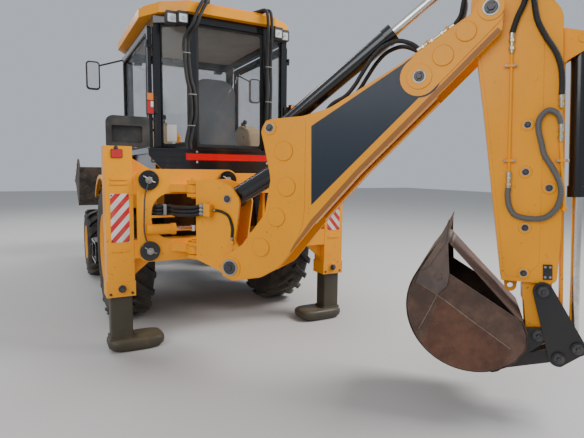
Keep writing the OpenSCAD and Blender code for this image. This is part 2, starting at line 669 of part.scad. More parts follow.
// Mirrors on their arms, grab rails at the front posts and the dark boxes on top of the stabilisers
module mirrors() centred() color(black) both() {
    y = cab_front + 9;
    union() {
        block([cab_half - 40, cab_front + seat_gap, 2856], [cab_half + 30, cab_front + 24, 2906]);
        bar([cab_half + 8, y + 4, 2880], [1045, y + 51, 2762], 10);
        translate([0, y + 50, 0]) rotate([90, 0, 0]) linear_extrude(40, center = true)
            polygon(rounded([[968, 2500, 40], [1122, 2500, 40], [1122, 2830, 40], [968, 2830, 40]]));
    }
    union() {
        bar([cab_half + 12, y + 34, 2250], [cab_half + 12, y + 34, 2820], 12);
        for (z = [2270, 2800]) {
            block([cab_half - 30, cab_front + seat_gap, z - 12], [cab_half + 24, cab_front + 14, z + 12]);
            bar([cab_half + 12, cab_front + 12, z], [cab_half + 12, y + 34, z], 8);
        }
    }
    translate([0, 0, leg_top_z + seat_gap]) difference() {
        union() {
            translate([0, -leg_y + 40, 0]) rotate([90, 0, 0]) linear_extrude(110)
                polygon(rounded([[830, 0, 0], [1132, 0, 0], [1132, cap_box_h - 40, 30], [830, cap_box_h - 40, 30]]));
            translate([0, -leg_y - 62, 0]) rotate([90, 0, 0]) linear_extrude(8)
                polygon(rounded([[800, 0, 8], [1150, 0, 8], [1150, cap_box_h, 60], [800, cap_box_h, 30]]));
        }
        translate([0, -leg_y - 60, 0]) rotate([90, 0, 0]) linear_extrude(40, center = true)
            polygon(rounded([[860, 30, 16], [1104, 30, 16], [1104, cap_box_h - 80, 16], [860, cap_box_h - 80, 16]]));
    }
}

// Radiator and the low panel under the hood's front
module nose() centred() color(black) {
    z0 = rail_z + rail_h + seat_gap;
    block([-hood_half, 2560, z0], [hood_half, nose_y, z0 + 52]);
    block([-rail_x, 2420, z0], [rail_x, 2500, 1440]);
}

// Engine hood, a shell with the grille in its front, hinged at the cab
module hood() centred() color(yellow) {
    y0 = 912;
    z0 = rail_z + rail_h + 60;
    difference() {
        union() for (x = hood_pins) {
            slab(x, 50) polygon([[hood_pin[0], hood_pin[1] - 14], [y0 + 60, hood_top_z - 12], [y0 + 60, hood_top_z], [hood_pin[0], hood_pin[1] + 14]]);
            cross_pin(hood_pin, x, 50, 14);
        }
        cross_pin(hood_pin, 0, 800, 7 + pin_gap);
    }
    difference() {
        slab(0, 2 * hood_half) polygon(rounded([[y0, z0, 0], [nose_y, z0, 0], [nose_y, 1500, 80], [2480, 1560, 300], [y0, hood_top_z, 0]]));
        slab(0, 2 * hood_half - 36) polygon(rounded([[y0 - 1, z0 - 1, 0], [nose_y - 18, z0 - 1, 0], [nose_y - 18, 1482, 60], [2480, 1542, 200], [y0 - 1, hood_top_z - 18, 0]]));
        for (z = [z0 + 60:52:1380])
            block([-230, nose_y - 40, z], [230, nose_y + 1, z + 26]);
    }
    difference() {
        union() {
            translate([210, 1860, 1600]) cylinder(h = 430, d = exhaust_d);
            translate([210, 1860, 2020]) rotate([-40, 0, 0]) cylinder(h = 90, d = exhaust_d - 4);
        }
        translate([210, 1860, 2020]) rotate([-40, 0, 0]) cylinder(h = 100, d = exhaust_d - 16);
    }
}

// A door with its lower corner cut along the mudguard; side is -1 on the left
function door_outline(inset) = let (y0 = -door_back + post + 8 + inset, y1 = cab_front - post - 8 - inset, z1 = roof_z - 78 - inset)
    [[y0, sill_z - 60 + inset, 30], [380, sill_z - 60 + inset, 150], [620 + inset, 1420, 150], [660 + inset, 1080 + inset, 20],
    [y1, 1080 + inset, 20], [y1, z1, 30], [y0, z1, 30]];
function window_outline(inset) = let (y0 = -door_back + post + 8 + inset, y1 = cab_front - post - 8 - inset, z1 = roof_z - 78 - inset)
    [[y0, sill_z - 60 + inset, 40], [y1, sill_z - 60 + inset, 40], [y1, z1, 40], [y0, z1, 40]];
module door(side) color(charcoal) mirror([side > 0 ? 0 : 1, 0, 0]) difference() {
    union() {
        slab(cab_half + 24, 36) difference() {
            polygon(rounded(door_outline(0)));
            polygon(rounded(window_outline(62)));
        }
        for (z = hinge_heights) {
            block([cab_half + 40, door_pin_y, z - 19], [door_pin_x + 6, door_pin_y + 60, z + 19]);
            translate([door_pin_x, door_pin_y, z - 19]) cylinder(h = 38, r = 14);
        }
    }
    for (z = hinge_heights) translate([door_pin_x, door_pin_y, z - 40]) cylinder(h = 80, r = 6 + pin_gap);
}
module door_pane(side) color("lightblue", 0.4) slab(side * (cab_half + 24), pane)
    polygon(rounded(window_outline(62 + seat_gap)));
module door_left() centred() door(-1);
module door_right() centred() door(1);
module door_glass_left() centred() door_pane(-1);
module door_glass_right() centred() door_pane(1);

// Steering knuckle: a fork around the beam's eye, its kingpin and the stub axle
module knuckle(side) translate([side * kingpin_x, wheelbase, front_tyre_d / 2]) color(charcoal) {
    eye_h = 150;
    union() {
        cylinder(h = eye_h + 90, r = 24, center = true);
        for (z = [eye_h / 2 + side_gap, -eye_h / 2 - side_gap - 34])
            translate([0, 0, z]) linear_extrude(34) polygon(link_pts([0, 0], [side * 96, 0], 52, 40));
        block([side > 0 ? 72 : -128, -60, -eye_h / 2 - side_gap - 34], [side > 0 ? 128 : -72, 60, eye_h / 2 + side_gap + 34]);
        translate([side * 100, 0, 0]) rotate([0, side * 90, 0]) cylinder(h = 96, r = 36);
    }
}
module knuckle_left() centred() knuckle(-1);
module knuckle_right() centred() knuckle(1);

module rim_front_left() centred() wheel_at(-front_track / 2, wheelbase, front_tyre_d) mirror([1, 0, 0]) front_rim();
module rim_front_right() centred() wheel_at(front_track / 2, wheelbase, front_tyre_d) front_rim();
module rim_rear_left() centred() wheel_at(-rear_track / 2, 0, rear_tyre_d) mirror([1, 0, 0]) rear_rim();
module rim_rear_right() centred() wheel_at(rear_track / 2, 0, rear_tyre_d) rear_rim();
module front_rim() difference() {
    rim(front_rim_d, front_tyre_w, 88, 70, 138, 6);
    translate([-200, 0, 0]) rotate([0, 90, 0]) cylinder(h = 200 + 30, r = 36 + pin_gap);
}
module rear_rim() difference() {
    rim(rear_rim_d, rear_tyre_w, 150, 320, 205, 8);
    translate([-330, 0, 0]) rotate([0, 90, 0]) cylinder(h = 110, r = hub_shaft_r + pin_gap);
}

module tyre_front_left() centred() wheel_at(-front_track / 2, wheelbase, front_tyre_d) tyre(front_tyre_d, front_tyre_w, front_rim_d, front_lugs, 1);
module tyre_front_right() centred() wheel_at(front_track / 2, wheelbase, front_tyre_d) tyre(front_tyre_d, front_tyre_w, front_rim_d, front_lugs, 1);
module tyre_rear_left() centred() wheel_at(-rear_track / 2, 0, rear_tyre_d) tyre(rear_tyre_d, rear_tyre_w, rear_rim_d, rear_lugs, 1);
module tyre_rear_right() centred() wheel_at(rear_track / 2, 0, rear_tyre_d) tyre(rear_tyre_d, rear_tyre_w, rear_rim_d, rear_lugs, 1);

// A cylinder's barrel along Z, with a bore at its foot and a deep bore for the rod
module barrel(l, r, eye_w, pin_r, rod_r) difference() {
    union() {
        rotate([0, 90, 0]) cylinder(h = eye_w, r = r * 1.05, center = true);
        translate([0, 0, r * 0.6]) cylinder(h = l - r * 0.6, r = r);
        translate([0, 0, l - 70]) cylinder(h = 70, r = r + 7);
    }
    rotate([0, 90, 0]) cylinder(h = eye_w + 40 + 2 * r, r = pin_r + pin_gap, center = true);
    translate([0, 0, r * 1.05 + 30]) cylinder(h = l, r = rod_r + pin_gap);
}

// A rod with its eye; the eye's middle lies at the origin and the rod points down
module rod(l, r, eye_r, eye_w) {
    translate([0, 0, -l]) cylinder(h = l, r = r);
    rotate([0, 90, 0]) cylinder(h = eye_w, r = eye_r, center = true);
}

// Stands a cylinder piece, made along Z, on a point of the machine's plane facing q
module along(xc, p, q) translate([xc, p[0], p[1]]) rotate([heading(p, q) - 90, 0, 0]) children();

// The same in the excavator's plane
module out_along(xc, p, q) translate([xc, -p[0], p[1]]) rotate([90 - heading(p, q), 0, 0]) children();

// Loader arms with their cross tube and the tilt cylinders' brackets
module loader_arms() centred() color(yellow) {
    side = [for (p = rounded([[60, -88, 30], [700, -60, 400], [1500, -70, 500], [arm_l, -78, 60], [arm_l + 78, 0, 60],
        [arm_l, 78, 60], [1500, 150, 400], [800, 150, 300], [0, 84, 60], [-84, 0, 60]])) place(arm_pin, -arm_drop, p)];
    ear = [for (p = [[800, 100], [1020, 100], [940, 290], [860, 290]]) place(arm_pin, -arm_drop, p)];
    seat = [for (p = [[800, 100], [1020, 100], [1020, 152], [800, 152]]) place(arm_pin, -arm_drop, p)];
    difference() {
        union() {
            both() slab(arm_x, arm_t) polygon(side);
            both() slab(arm_x, 112) polygon(seat);
            both() slab(arm_x, 94) polygon([for (p = [[980, -30], [1220, -30], [1190, -92], [1010, -92]]) place(arm_pin, -arm_drop, p)]);
            for (s = [-1, 1], x = [arm_x - 40, arm_x + 40]) slab(s * x, 14)
                polygon([for (p = [[980, -40], [1220, -40], [1142, -278], [1058, -278]]) place(arm_pin, -arm_drop, p)]);
            both() cross_pin(arm_pin, arm_x, 2 * tower_in - 2 * side_gap, 62);
            cross_pin(place(arm_pin, -arm_drop, [1950, 0]), 0, 2 * arm_x, 52);
            for (s = [-1, 1], x = [arm_x - 50, arm_x + 50]) slab(s * x, 12) polygon(ear);
            both() cross_pin(tilt_foot, arm_x, 120, 18);
        }
        cross_pin(arm_pin, 0, 4 * arm_x, 32 + pin_gap);
        cross_pin(shovel_pin, 0, 4 * arm_x, 28 + pin_gap);
    }
}

module lift_barrels() centred() color(black) both()
    along(arm_x, lift_foot, lift_eye) barrel(lift_barrel_l, 50, 90, 26, 28);
module lift_rods() centred() color(steel) both()
    along(arm_x, lift_eye, lift_foot) mirror([0, 0, 1]) rod(lift_rod_l, 28, 44, 30);
module tilt_barrels() centred() color(black) both()
    along(arm_x, tilt_foot, tilt_eye) barrel(tilt_barrel_l, 38, 70, 18, 22);
module tilt_rods() centred() color(steel) both()
    along(arm_x, tilt_eye, tilt_foot) mirror([0, 0, 1]) rod(tilt_rod_l, 22, 36, 30);

// Loader bucket with side cutters, its edge and its ears
module loader_bucket() centred() color(charcoal) {
    outer = rounded([[100, 600, 0], [100, -40, 120], [190, -210, 60], [1040, -210, 0], [740, 100, 0], [370, 600, 0]]);
    inner = rounded([[100 + shovel_t, 601, 0], [100 + shovel_t, -40, 110], [196, -210 + shovel_t, 50], [1060, -210 + shovel_t, 0], [740, 700, 0]]);
    difference() {
        union() {
            slab(0, shovel_w) polygon(placed(shovel_pin, shovel_tilt, outer));
            for (s = [-1, 1], x = [arm_x - arm_t / 2 - side_gap - 10, arm_x + arm_t / 2 + side_gap + 10])
                slab(s * x, 20) polygon(placed(shovel_pin, shovel_tilt, rounded([[106, -90, 0], [106, 400, 0], [0, 380, 30], [-45, 300, 30], [-60, 0, 60], [0, -70, 40]])));
            both() cross_pin(shovel_pin, arm_x, arm_t + 2 * side_gap + 40, 28);
        }
        slab(0, shovel_w - 2 * shovel_t) polygon(placed(shovel_pin, shovel_tilt, inner));
    }
}

// A sliding leg with its rocker foot; side is -1 on the left
module leg(side) color("gray") {
    w = leg_box_w - 2 * leg_wall - 2 * leg_gap;
    d = leg_box_d - 2 * leg_wall - 2 * leg_gap;
    top = 1300;
    shoe = leg_gap - pin_gap;
    union() {
        block([side * leg_x - w / 2, -leg_y - d / 2, 60], [side * leg_x + w / 2, -leg_y + d / 2, top]);
        block([side * leg_x - w / 2 - shoe, -leg_y - d / 2 - shoe, top - 90], [side * leg_x + w / 2 + shoe, -leg_y + d / 2 + shoe, top - 10]);
        translate([side * (leg_x - 120), -leg_y + foot_w / 2, 0]) rotate([90, 0, 0]) linear_extrude(foot_w)
            polygon(rounded([[-foot_l / 2, 90, 20], [-foot_l / 2 + 70, 0, 60], [foot_l / 2 - 70, 0, 60], [foot_l / 2, 90, 20],
                [foot_l / 2 - 40, 110, 20], [-foot_l / 2 + 40, 110, 20]]));
    }
}
module leg_left() centred() leg(-1);
module leg_right() centred() leg(1);

// Carriage plate that shifts along the rear frame, with clamps, hinge ears and the slew cylinders' barrels
module carriage() centred() translate([slew_x, -slew_y, 0]) {
    face = 216 - seat_gap;
    z_low = low_rail_z + 65;
    z_top = top_rail_z + 122;
    side = clamp_x + 98;
    color(yellow) difference() {
        union() {
            translate([0, face, 0]) rotate([90, 0, 0]) linear_extrude(carriage_t) difference() {
                polygon(rounded([[-side, z_low - 95, 90], [side, z_low - 95, 90], [side, z_top + 95, 90], [-side, z_top + 95, 90]]));
                polygon(rounded([[-clamp_x + 20, z_low + 95, 170], [clamp_x - 20, z_low + 95, 60],
                    [clamp_x - 20, z_top - 110, 60], [-clamp_x + 20, z_top - 110, 170]]));
            }
            for (z = [hinge_low, hinge_top])
                translate([0, 0, z - hinge_t / 2]) linear_extrude(hinge_t)
                    polygon(concat(arc([0, 0], 66, 180, 360), [[66, 90], [170, face - carriage_t + 2], [-170, face - carriage_t + 2], [-66, 90]]));
            block([-clamp_x + 10, face - carriage_t, 1150], [-132, face, 1170]);
            for (s = [-1, 1]) translate([0, slew_ram_y, slew_ram_z[(s + 1) / 2]]) rotate([0, s * 90, 0]) {
                translate([0, 0, 130]) cylinder(h = 245, r = 44);
                translate([0, 0, 130]) cylinder(h = 40, r = 50);
            }
        }
        for (z = [hinge_low, hinge_top])
            translate([0, 0, z - hinge_t]) cylinder(h = 2 * hinge_t, r = 36 + pin_gap);
        for (s = [-1, 1]) translate([0, slew_ram_y, slew_ram_z[(s + 1) / 2]]) rotate([0, s * 90, 0])
            translate([0, 0, 100]) cylinder(h = 250, r = 22 + pin_gap);
    }
    color(black) for (x = [-clamp_x, clamp_x], z = [z_low, z_top])
        translate([x, face - carriage_t, z]) rotate([90, 0, 0]) {
            cylinder(h = 20, r = clamp_r);
            cylinder(h = 28, r = 26);
        }
}

// Rods of the two slewing cylinders with their eyes, sliding across in the carriage's opening
module slew_rods() centred() translate([slew_x + 40, -slew_y + slew_ram_y, 0]) color(steel) for (s = [-1, 1])
    translate([0, 0, slew_ram_z[(s + 1) / 2]]) union() {
        rotate([0, 90, 0]) translate([0, 0, s < 0 ? -240 : -10]) cylinder(h = 251, r = 22);
        cylinder(h = 52, r = 36, center = true);
    }

// Kingpost: forks at both hinges, side plates, the boom's foot boss and the cylinder's seat
module kingpost() centred() excavator() color(yellow) {
    web = rounded([[84, hinge_low - 60, 0], [420, foot_z - 90, 60], [530, foot_z - 60, 80], [525, foot_z + 90, 60], [445, 1000, 60],
        [490, 1330, 90], [400, 1445, 60], [240, 1490, 40], [84, hinge_top + 75, 0]]);
    difference() {
        union() {
            for (x = [-108, 108]) out_slab(x, 24) polygon(web);
            out_slab(-150, 62) polygon([[192, 1196], [250, 1190], [250, 1286], [192, 1300]]);
            out_slab(-131, 24) polygon([[408, 975], [440, 975], [440, 1005], [408, 1005]]);
            out_slab(0, 220) polygon([[84, hinge_low - 60], [130, hinge_low - 60], [130, hinge_top + 75], [84, hinge_top + 75]]);
            for (z = [hinge_low, hinge_top], s = [-1, 1])
                translate([0, 0, z + s * (hinge_t / 2 + side_gap + 16) - 16]) linear_extrude(32)
                    polygon(concat(arc([0, 0], 70, 0, 180), [[-100, -100], [100, -100]]));
            out_pin(boom_foot, 0, boom_w - 2 * boom_t - 2 * side_gap, 86);
            for (z = [hinge_low, hinge_top])
                translate([0, 0, z - hinge_t / 2 - 52]) cylinder(h = hinge_t + 104, r = 36);
            out_pin(ram_foot, 0, 250, 32);
        }
        out_pin(boom_foot, 0, boom_w, 40 + pin_gap);
    }
}

// Discs raised on the boom's sides, as place along the pin line, height above it, radius and standing height
boom_discs = [[957, 337, 72, boss_h - 1], [792, 133, 72, boss_h - 1], [573, 26, 72, boss_h - 1], [316, -57, 72, boss_h - 1],
    [2157, -1, 66, boss_h + 3], [2346, 3, 62, boss_h + 3], [2533, 0, 76, boss_h + 6], [1970, 11, 80, boss_h + 6],
    [0, 0, 88, boss_h + 4], [997, 539, 52, boss_h + 4]];

// Boom: two side plates joined by plates along its lower and upper edges
function boom_edge() = rounded([[-103, 0, 0], [-60, -90, 60], [150, -225, 120], [320, -268, 150], [760, -212, 400], [1250, -176, 900],
    [2480, -154, 60], [2640, 0, 80], [2540, 105, 64], [2440, 62, 60], [1968, 157, 400], [1407, 312, 300], [1238, 413, 200],
    [1010, 612, 90], [925, 570, 60], [855, 451, 200], [735, 256, 300], [514, 98, 250], [208, 56, 150], [0, 105, 60]]);
module boom() centred() excavator() color(yellow) {
    edge = placed(boom_foot, boom_angle, boom_edge());
    gap_w = boom_w - 2 * boom_t;
    union() {
            for (s = [-1, 1]) out_slab(s * (boom_w - boom_t) / 2, boom_t) polygon(edge);
            for (s = [-1, 1]) out_slab(s * (gap_w / 2 - 29), 60)
                polygon(placed(boom_foot, boom_angle, [[760, -210], [1250, -175], [1960, -163], [1960, -147], [1250, -159], [760, -194]]));
            out_slab(0, gap_w + 2) polygon(placed(boom_foot, boom_angle, [[1407, 290], [1968, 135], [2230, 84], [2230, 68], [1968, 119], [1407, 274]]));
            out_pin(boom_foot, 0, boom_w + 30, 40);
            out_pin(crowd_foot, 0, gap_w + 2, 30);
            out_pin(dipper_pin, 0, gap_w + 2, 42);
            for (s = [-1, 1], p = boom_discs)
                out_pin(place(boom_foot, boom_angle, flat(p)), s * (boom_w + p[3] - 2) / 2, p[3] + 2, p[2]);
            for (s = [-1, 1]) out_slab(s * (boom_w + boss_h - 2) / 2, boss_h + 2) intersection() {
                polygon(placed(boom_foot, boom_angle, link_pts([1970, 11], [2533, 0], 124, 98)));
                offset(delta = -5) polygon(edge);
            }
            out_slab(0, gap_w + 2) polygon(placed(boom_foot, boom_angle, [[1286, 308], [1306, 308], [1306, 350], [1286, 350]]));
    }
}

module boom_barrel() centred() excavator() color(black)
    out_along(0, ram_foot, ram_eye) barrel(boom_barrel_l, 76, 150, 32, 38);
module boom_rod() centred() excavator() color(steel)
    out_along(0, ram_eye, ram_foot) mirror([0, 0, 1]) rod(boom_rod_l, 38, 62, 90);
module dipper_barrel() centred() excavator() color(black)
    out_along(0, crowd_foot, crowd_eye) barrel(crowd_barrel_l, 60, 110, 30, 34);
module dipper_rod() centred() excavator() color(steel)
    out_along(0, crowd_eye, crowd_foot) mirror([0, 0, 1]) rod(crowd_rod_l, 34, 58, 90);

// Outer dipper: a box that tapers to its mouth, with its crank plates above the pin
dipper_bosses = [[716, 209], [1007, 199], [1358, 197], [1649, 190], [1111, 330]];
function dipper_edge() = rounded([[-crank_l - 70, -10, 60], [-crank_l, -84, 60], [0, -118, 80], [228, -84, 100], [605, -42, 600],
    [1663, 58, 40], [1700, 62, 0], [1716, 376, 40], [1400, 400, 200], [60, 400, 160], [-crank_l + 20, 62, 60]]);
module dipper_outer() centred() excavator() color(yellow) {
    edge = placed(dipper_pin, slide_dir, dipper_edge());
    w_in = dipper_w - 2 * dipper_t;
    cavity = placed(dipper_pin, slide_dir, [[260, 170], [1760, 170], [1760, 372], [260, 372]]);
    hollow = placed(dipper_pin, slide_dir, [[-90, 150], [-90, 340], [230, 340], [230, 150]]);
    difference() {
        union() {
            out_slab(0, dipper_w) polygon(edge);
            for (p = dipper_bosses)
                out_pin(place(dipper_pin, slide_dir, p), 0, dipper_w + 2 * boss_h, 36);
            out_slab(0, 30) polygon(placed(dipper_pin, slide_dir, concat([[1690, 165], [1690, 78]], arc([1752, 118], 38, -60, 80))));
        }
        out_slab(0, w_in) polygon(cavity);
        out_pin(place(dipper_pin, slide_dir, [1752, 118]), 0, 60, 18);
        out_slab(0, 110) polygon(placed(dipper_pin, slide_dir, [[-600, -130], [-150, -130], [-150, 300], [-600, 300]]));
        out_pin(dipper_pin, 0, dipper_w + 10, 42 + pin_gap);
    }
    for (s = [-1, 1]) out_slab(s * (inner_w / 2 + pin_gap + (w_in - inner_w) / 4 + 1), (w_in - inner_w) / 2 + 2 - 2 * pin_gap)
        polygon(placed(dipper_pin, slide_dir, [[1630, 200], [1630, 340], [1695, 340], [1695, 200]]));
    out_pin(crowd_eye, (110 + dipper_w) / 4 + 6, (dipper_w - 110) / 2 + 30, 30);
    out_pin(crowd_eye, -(110 + dipper_w) / 4 - 6, (dipper_w - 110) / 2 + 30, 30);
}

// Sliding dipper with the bucket's boss and the rail that carries the bucket cylinder
module dipper_inner() centred() excavator() color(yellow) {
    mid = bucket_pin_h - 8;
    tube = placed(dipper_pin, slide_dir, [[320, mid - inner_d / 2], [320, mid + inner_d / 2], [1830, mid + inner_d / 2], [1830, mid - inner_d / 2]]);
    head = placed(dipper_pin, slide_dir, concat([[1760, mid + inner_d / 2], [1700, mid - inner_d / 2]],
        arc([bucket_pin_s, bucket_pin_h], 70, -80, 80)));
    rail = placed(bucket_pin, slide_dir, [[-1900, 127], [-230, 127], [-230, 60], [-200, 60], [-180, 145], [-1900, 145]]);
    difference() {
        union() {
            out_slab(0, inner_w) polygon(tube);
            out_slab(0, dipper_w - 2 * dipper_t - 2 * pin_gap) polygon(placed(dipper_pin, slide_dir,
                [[340, 170 + pin_gap], [340, 372 - pin_gap], [420, 372 - pin_gap], [420, 170 + pin_gap]]));
            out_slab(0, inner_w) polygon(head);
            out_slab(0, 60) polygon(rail);
            for (x = [-62, 62]) out_slab(x, 14) polygon(placed(bucket_pin, slide_dir, [[-1900, 135], [-1700, 135], [-1770, 262], [-1860, 262]]));
            out_slab(0, 138) polygon(placed(bucket_pin, slide_dir, [[-1900, 127], [-1700, 127], [-1700, 145], [-1900, 145]]));
        }
        out_pin(bucket_pin, 0, 400, 32 + pin_gap);
        out_pin(lever_pin, 0, 400, 28 + pin_gap);
        out_pin(tip_foot, 0, 400, 22);
    }
    out_pin(tip_foot, 0, 150, 22);
}

module bucket_barrel() centred() excavator() color(black)
    out_along(0, tip_foot, tip_eye) barrel(tip_barrel_l, 50, 54, 22, 28);
module bucket_rod() centred() excavator() color(steel)
    out_along(0, tip_eye, tip_foot) mirror([0, 0, 1]) rod(tip_rod_l, 28, 46, 90);

// Tipping lever: two plates on the sliding dipper's pin
module tip_lever() centred() excavator() color(black) {
    outline = concat(arc(lever_pin, 58, 30, 200), arc(link_pin, 56, 200, 290), arc(tip_eye, 50, -70, 30));
    for (x = [-1, 1]) out_slab(x * (inner_w / 2 + 46), 18) polygon(outline);
    out_pin(lever_pin, 0, inner_w + 116, 28);
    for (s = [-1, 1], p = [link_pin, tip_eye]) out_pin(p, s * (inner_w / 2 + 60), 12, 34);
}

// Tipping link from the lever to the bucket's ears
module bucket_link() centred() excavator() color(black) difference() {
    union() {
        for (s = [-1, 1]) out_slab(s * 61, 16) polygon(link_pts(link_pin, ear_pin, 42, 38));
        out_pin(link_pin * 0.5 + ear_pin * 0.5, 0, 138, 22);
        out_pin(ear_pin, 0, 138, 36);
    }
    out_pin(ear_pin, 0, 200, 22 + pin_gap);
}

// Digging bucket: a round-backed shell with side plates, teeth and ears
module digging_bucket() centred() excavator() color("saddlebrown") {
    back = [-405, 180];
    lip = [-598, 633];
    nose = [-117, 135];
    outer = concat([[lip[0], lip[1]], [-690, 500]], arc(back, bucket_r, 145, 310, 20), [[-92, -66], [-90, 50], [nose[0] + 4, nose[1] + 2]]);
    inner = concat([[lip[0] + 60, lip[1] + 60], [lip[0] + 4, lip[1] - 10], [-676, 494]], arc(back, bucket_r - bucket_t, 145, 310, 20),
        [[-106, -60], [-102, 50], [nose[0] - 8, nose[1] - 4], [nose[0] + 10, nose[1] + 60]]);
    difference() {
        union() {
            out_slab(0, bucket_w) polygon(placed(bucket_pin, 0, outer));
            for (x = [-1, 1]) out_slab(x * (inner_w / 2 + 15), 20)
                polygon(placed(bucket_pin, 0, concat(arc([0, 0], 56, -60, 120), [[-80, 40], [-140, -110]], arc([-261, -241], 48, 150, 320))));
            out_pin(bucket_pin, 0, inner_w + 60, 32);
            out_pin(ear_pin, 0, inner_w + 66, 22);
        }
        out_slab(0, bucket_w - 2 * bucket_t) polygon(placed(bucket_pin, 0, inner));
    }
    for (i = [0:bucket_teeth - 1])
        out_slab((i - (bucket_teeth - 1) / 2) * (bucket_w - 70) / (bucket_teeth - 1), 56)
            polygon(placed(bucket_pin, 0, [[-640, 575], [-612, 560], [-555, 756]]));
}

// Hoses down both rear posts of the cab, from fittings on the roof to the rear panel
module hoses_cab() centred() color(black) {
    top_z = roof_z + roof_h + thin_hose_d / 2 + seat_gap;
    left = [[-200, -840, top_z], [-240, -950, top_z], [-275, -1052, 3068], [-340, -1066, 2951], [-381, -1062, 2836],
        [-436, -1016, 2741], [-440, -992, 2618], [-419, -992, 2388], [-388, -992, 2265], [-377, -992, 2066], [-406, -992, 1934],
        [-430, -992, leg_top_z + 70], [-430, -992, leg_top_z + 30], [-430, -992, leg_top_z + seat_gap]];
    right = [[250, -840, top_z], [290, -950, top_z], [335, -1056, 3070], [352, -1066, 2940], [354, -1060, 2830],
        [366, -1010, 2629], [380, -992, 2387], [376, -992, 2167], [372, -992, 1990], [368, -992, leg_top_z + 70], [368, -992, leg_top_z + 30], [368, -992, leg_top_z + seat_gap]];
    for (route = [left, right], i = [-1, 1])
        hose([for (q = route) q + [i * 0.66 * thin_hose_d, 0, 0]], thin_hose_d, 2);
}

// Cable down the carriage's left edge and the bundle that crosses to the kingpost
module hoses_carriage() centred() color(black) {
    plate_y = -slew_y + 216 - seat_gap - carriage_t;
    disc_y = plate_y - 20 - 8 - seat_gap;
    hose([[-838, disc_y, 1440], [-866, disc_y, 1339], [-876, disc_y, 1178], [-876, disc_y, 1032], [-846, disc_y, 911]], 16, 2);
    d = thin_hose_d;
    pitch = d + seat_gap;
    for (i = [0:2], j = [0:1]) let (z = 1170 + d / 2 + seat_gap + i * pitch, y = -slew_y + 198 + (j - 0.5) * pitch)
        hose([[slew_x - 300, y, z], [slew_x - 240, y, z], [slew_x - 165, y, z], bundle_at(-120, z + 4, 92 + j * pitch),
            bundle_at(0, z + 8, 134 + j * pitch), bundle_at(90, z + 12, 135.5 + j * pitch),
            bundle_at(152, 1212 + i * 31, 135.5 + j * pitch),
            bundle_at(172, 1212 + i * 31, 135.5 + j * pitch), bundle_at(192 - seat_gap, 1212 + i * 31, 135.5 + j * pitch)], d, 3);
}
function bundle_at(r, z, off) = [slew_x + r * sin(slew_angle) - off * cos(slew_angle), -slew_y - r * cos(slew_angle) - off * sin(slew_angle), z];

// Hose from the kingpost's fittings down to the boom's foot
module hoses_kingpost() centred() excavator() color(black)
    hose([for (q = [[250 + seat_gap, 1240], [270, 1240], [292, 1240], [339, 1230], [395, 1196], [426, 1112], [424, 1044], [424, 1024], [424, 1005 + seat_gap]])
        out(concat(q, [131.3]))], 22, 3);

// Hoses and steel ends along the boom, from inside it to above the dipper's pin
module hoses_boom() centred() excavator() {
    far = 78;
    for (s = [-1, 1]) {
        color(black) hose([for (q = [[1306 + seat_gap, 329], [1324, 329], [1346, 329], [1394, 342], [1450, 340], [1543, 312], [1640, 318], [1727, 338], [1850, 362],
            [1950, 358], [2040, 310], [2084, 230], [2096, 160]]) out(concat(place(boom_foot, boom_angle, q), [s * far]))], thin_hose_d, 2);
        color(steel) union() for (q = [[2080, 2190, 21], [2190, 2250, 17], [2250, 2342, 21]])
            out_pipe([q[0], 164 - (q[0] - 2080) * 0.215], [q[1], 164 - (q[1] - 2080) * 0.215], s * far, q[2]);
        color(black) hose([for (q = [[2341, 108, 78], [2400, 118, 92], [2450, 150, 112], [2510, 200, 126], [2560, 275, 128], [2600, 330, 128]])
            out(concat(place(boom_foot, boom_angle, flat(q)), [s * q[2]]))], thin_hose_d, 2);
    }
}
module out_pipe(p, q, off, r)
    bar(out(concat(place(boom_foot, boom_angle, p), [off])), out(concat(place(boom_foot, boom_angle, q), [off])), r);

// Hoses and pipes on the outer dipper's left side, with the slack loop for its telescope
module hoses_dipper() centred() excavator() {
    far = dipper_w / 2 + hose_d / 2 + seat_gap;
    low = dipper_w / 2 + pipe_d / 2 + seat_gap;
    mid = dipper_w / 2 + 15 + seat_gap;
    color(black) {
        hose([for (q = [[2290, 2850], [2350, 2862], [2410, 2800], [2440, 2700], [2429, 2598], [2395, 2509], [2371, 2420]])
            out(concat(q, [far]))], hose_d, 3);
        hose([for (q = [[2401, 1471], [2399, 1427], [2412, 1358], [2450, 1302], [2534, 1284], [2614, 1294], [2671, 1349], [2695, 1436],
            [2682, 1515], [2639, 1600], [2591, 1679], [2568, 1760], [2550, 1831], [2550, 1892], [2580, 1938], [2613, 1946],
            [2652, 1918], [2671, 1864]]) out(concat(q, [far]))], hose_d, 2);
        hose([for (q = [[2300, 2905], [2380, 2910], [2440, 2830], [2462, 2740], [2483, 2592], [2506, 2485], [2554, 2388], [2610, 2300],
            [2645, 2212], [2660, 2110], [2661, 2036]]) out(concat(q, [far]))], hose_d, 2);
    }
    color(steel) {
        bar(out([2371, 2420 - seat_gap, far]), out([2376, 2300, mid]), 15);
        bar(out([2376, 2300 - seat_gap, low]), out([2399, 1572, low]), pipe_d / 2);
        bar(out([2399, 1572 - seat_gap, mid]), out([2401, 1471 + seat_gap, far]), 15);
        bar(out([2661, 2036 - seat_gap, far]), out([2666, 1960, mid]), 15);
        bar(out([2671, 1864 - seat_gap, far]), out([2674, 1760, mid]), 15);
        bar(out([2674, 1760 - seat_gap, low]), out([2719, 1360, low]), pipe_d / 2);
    }
}

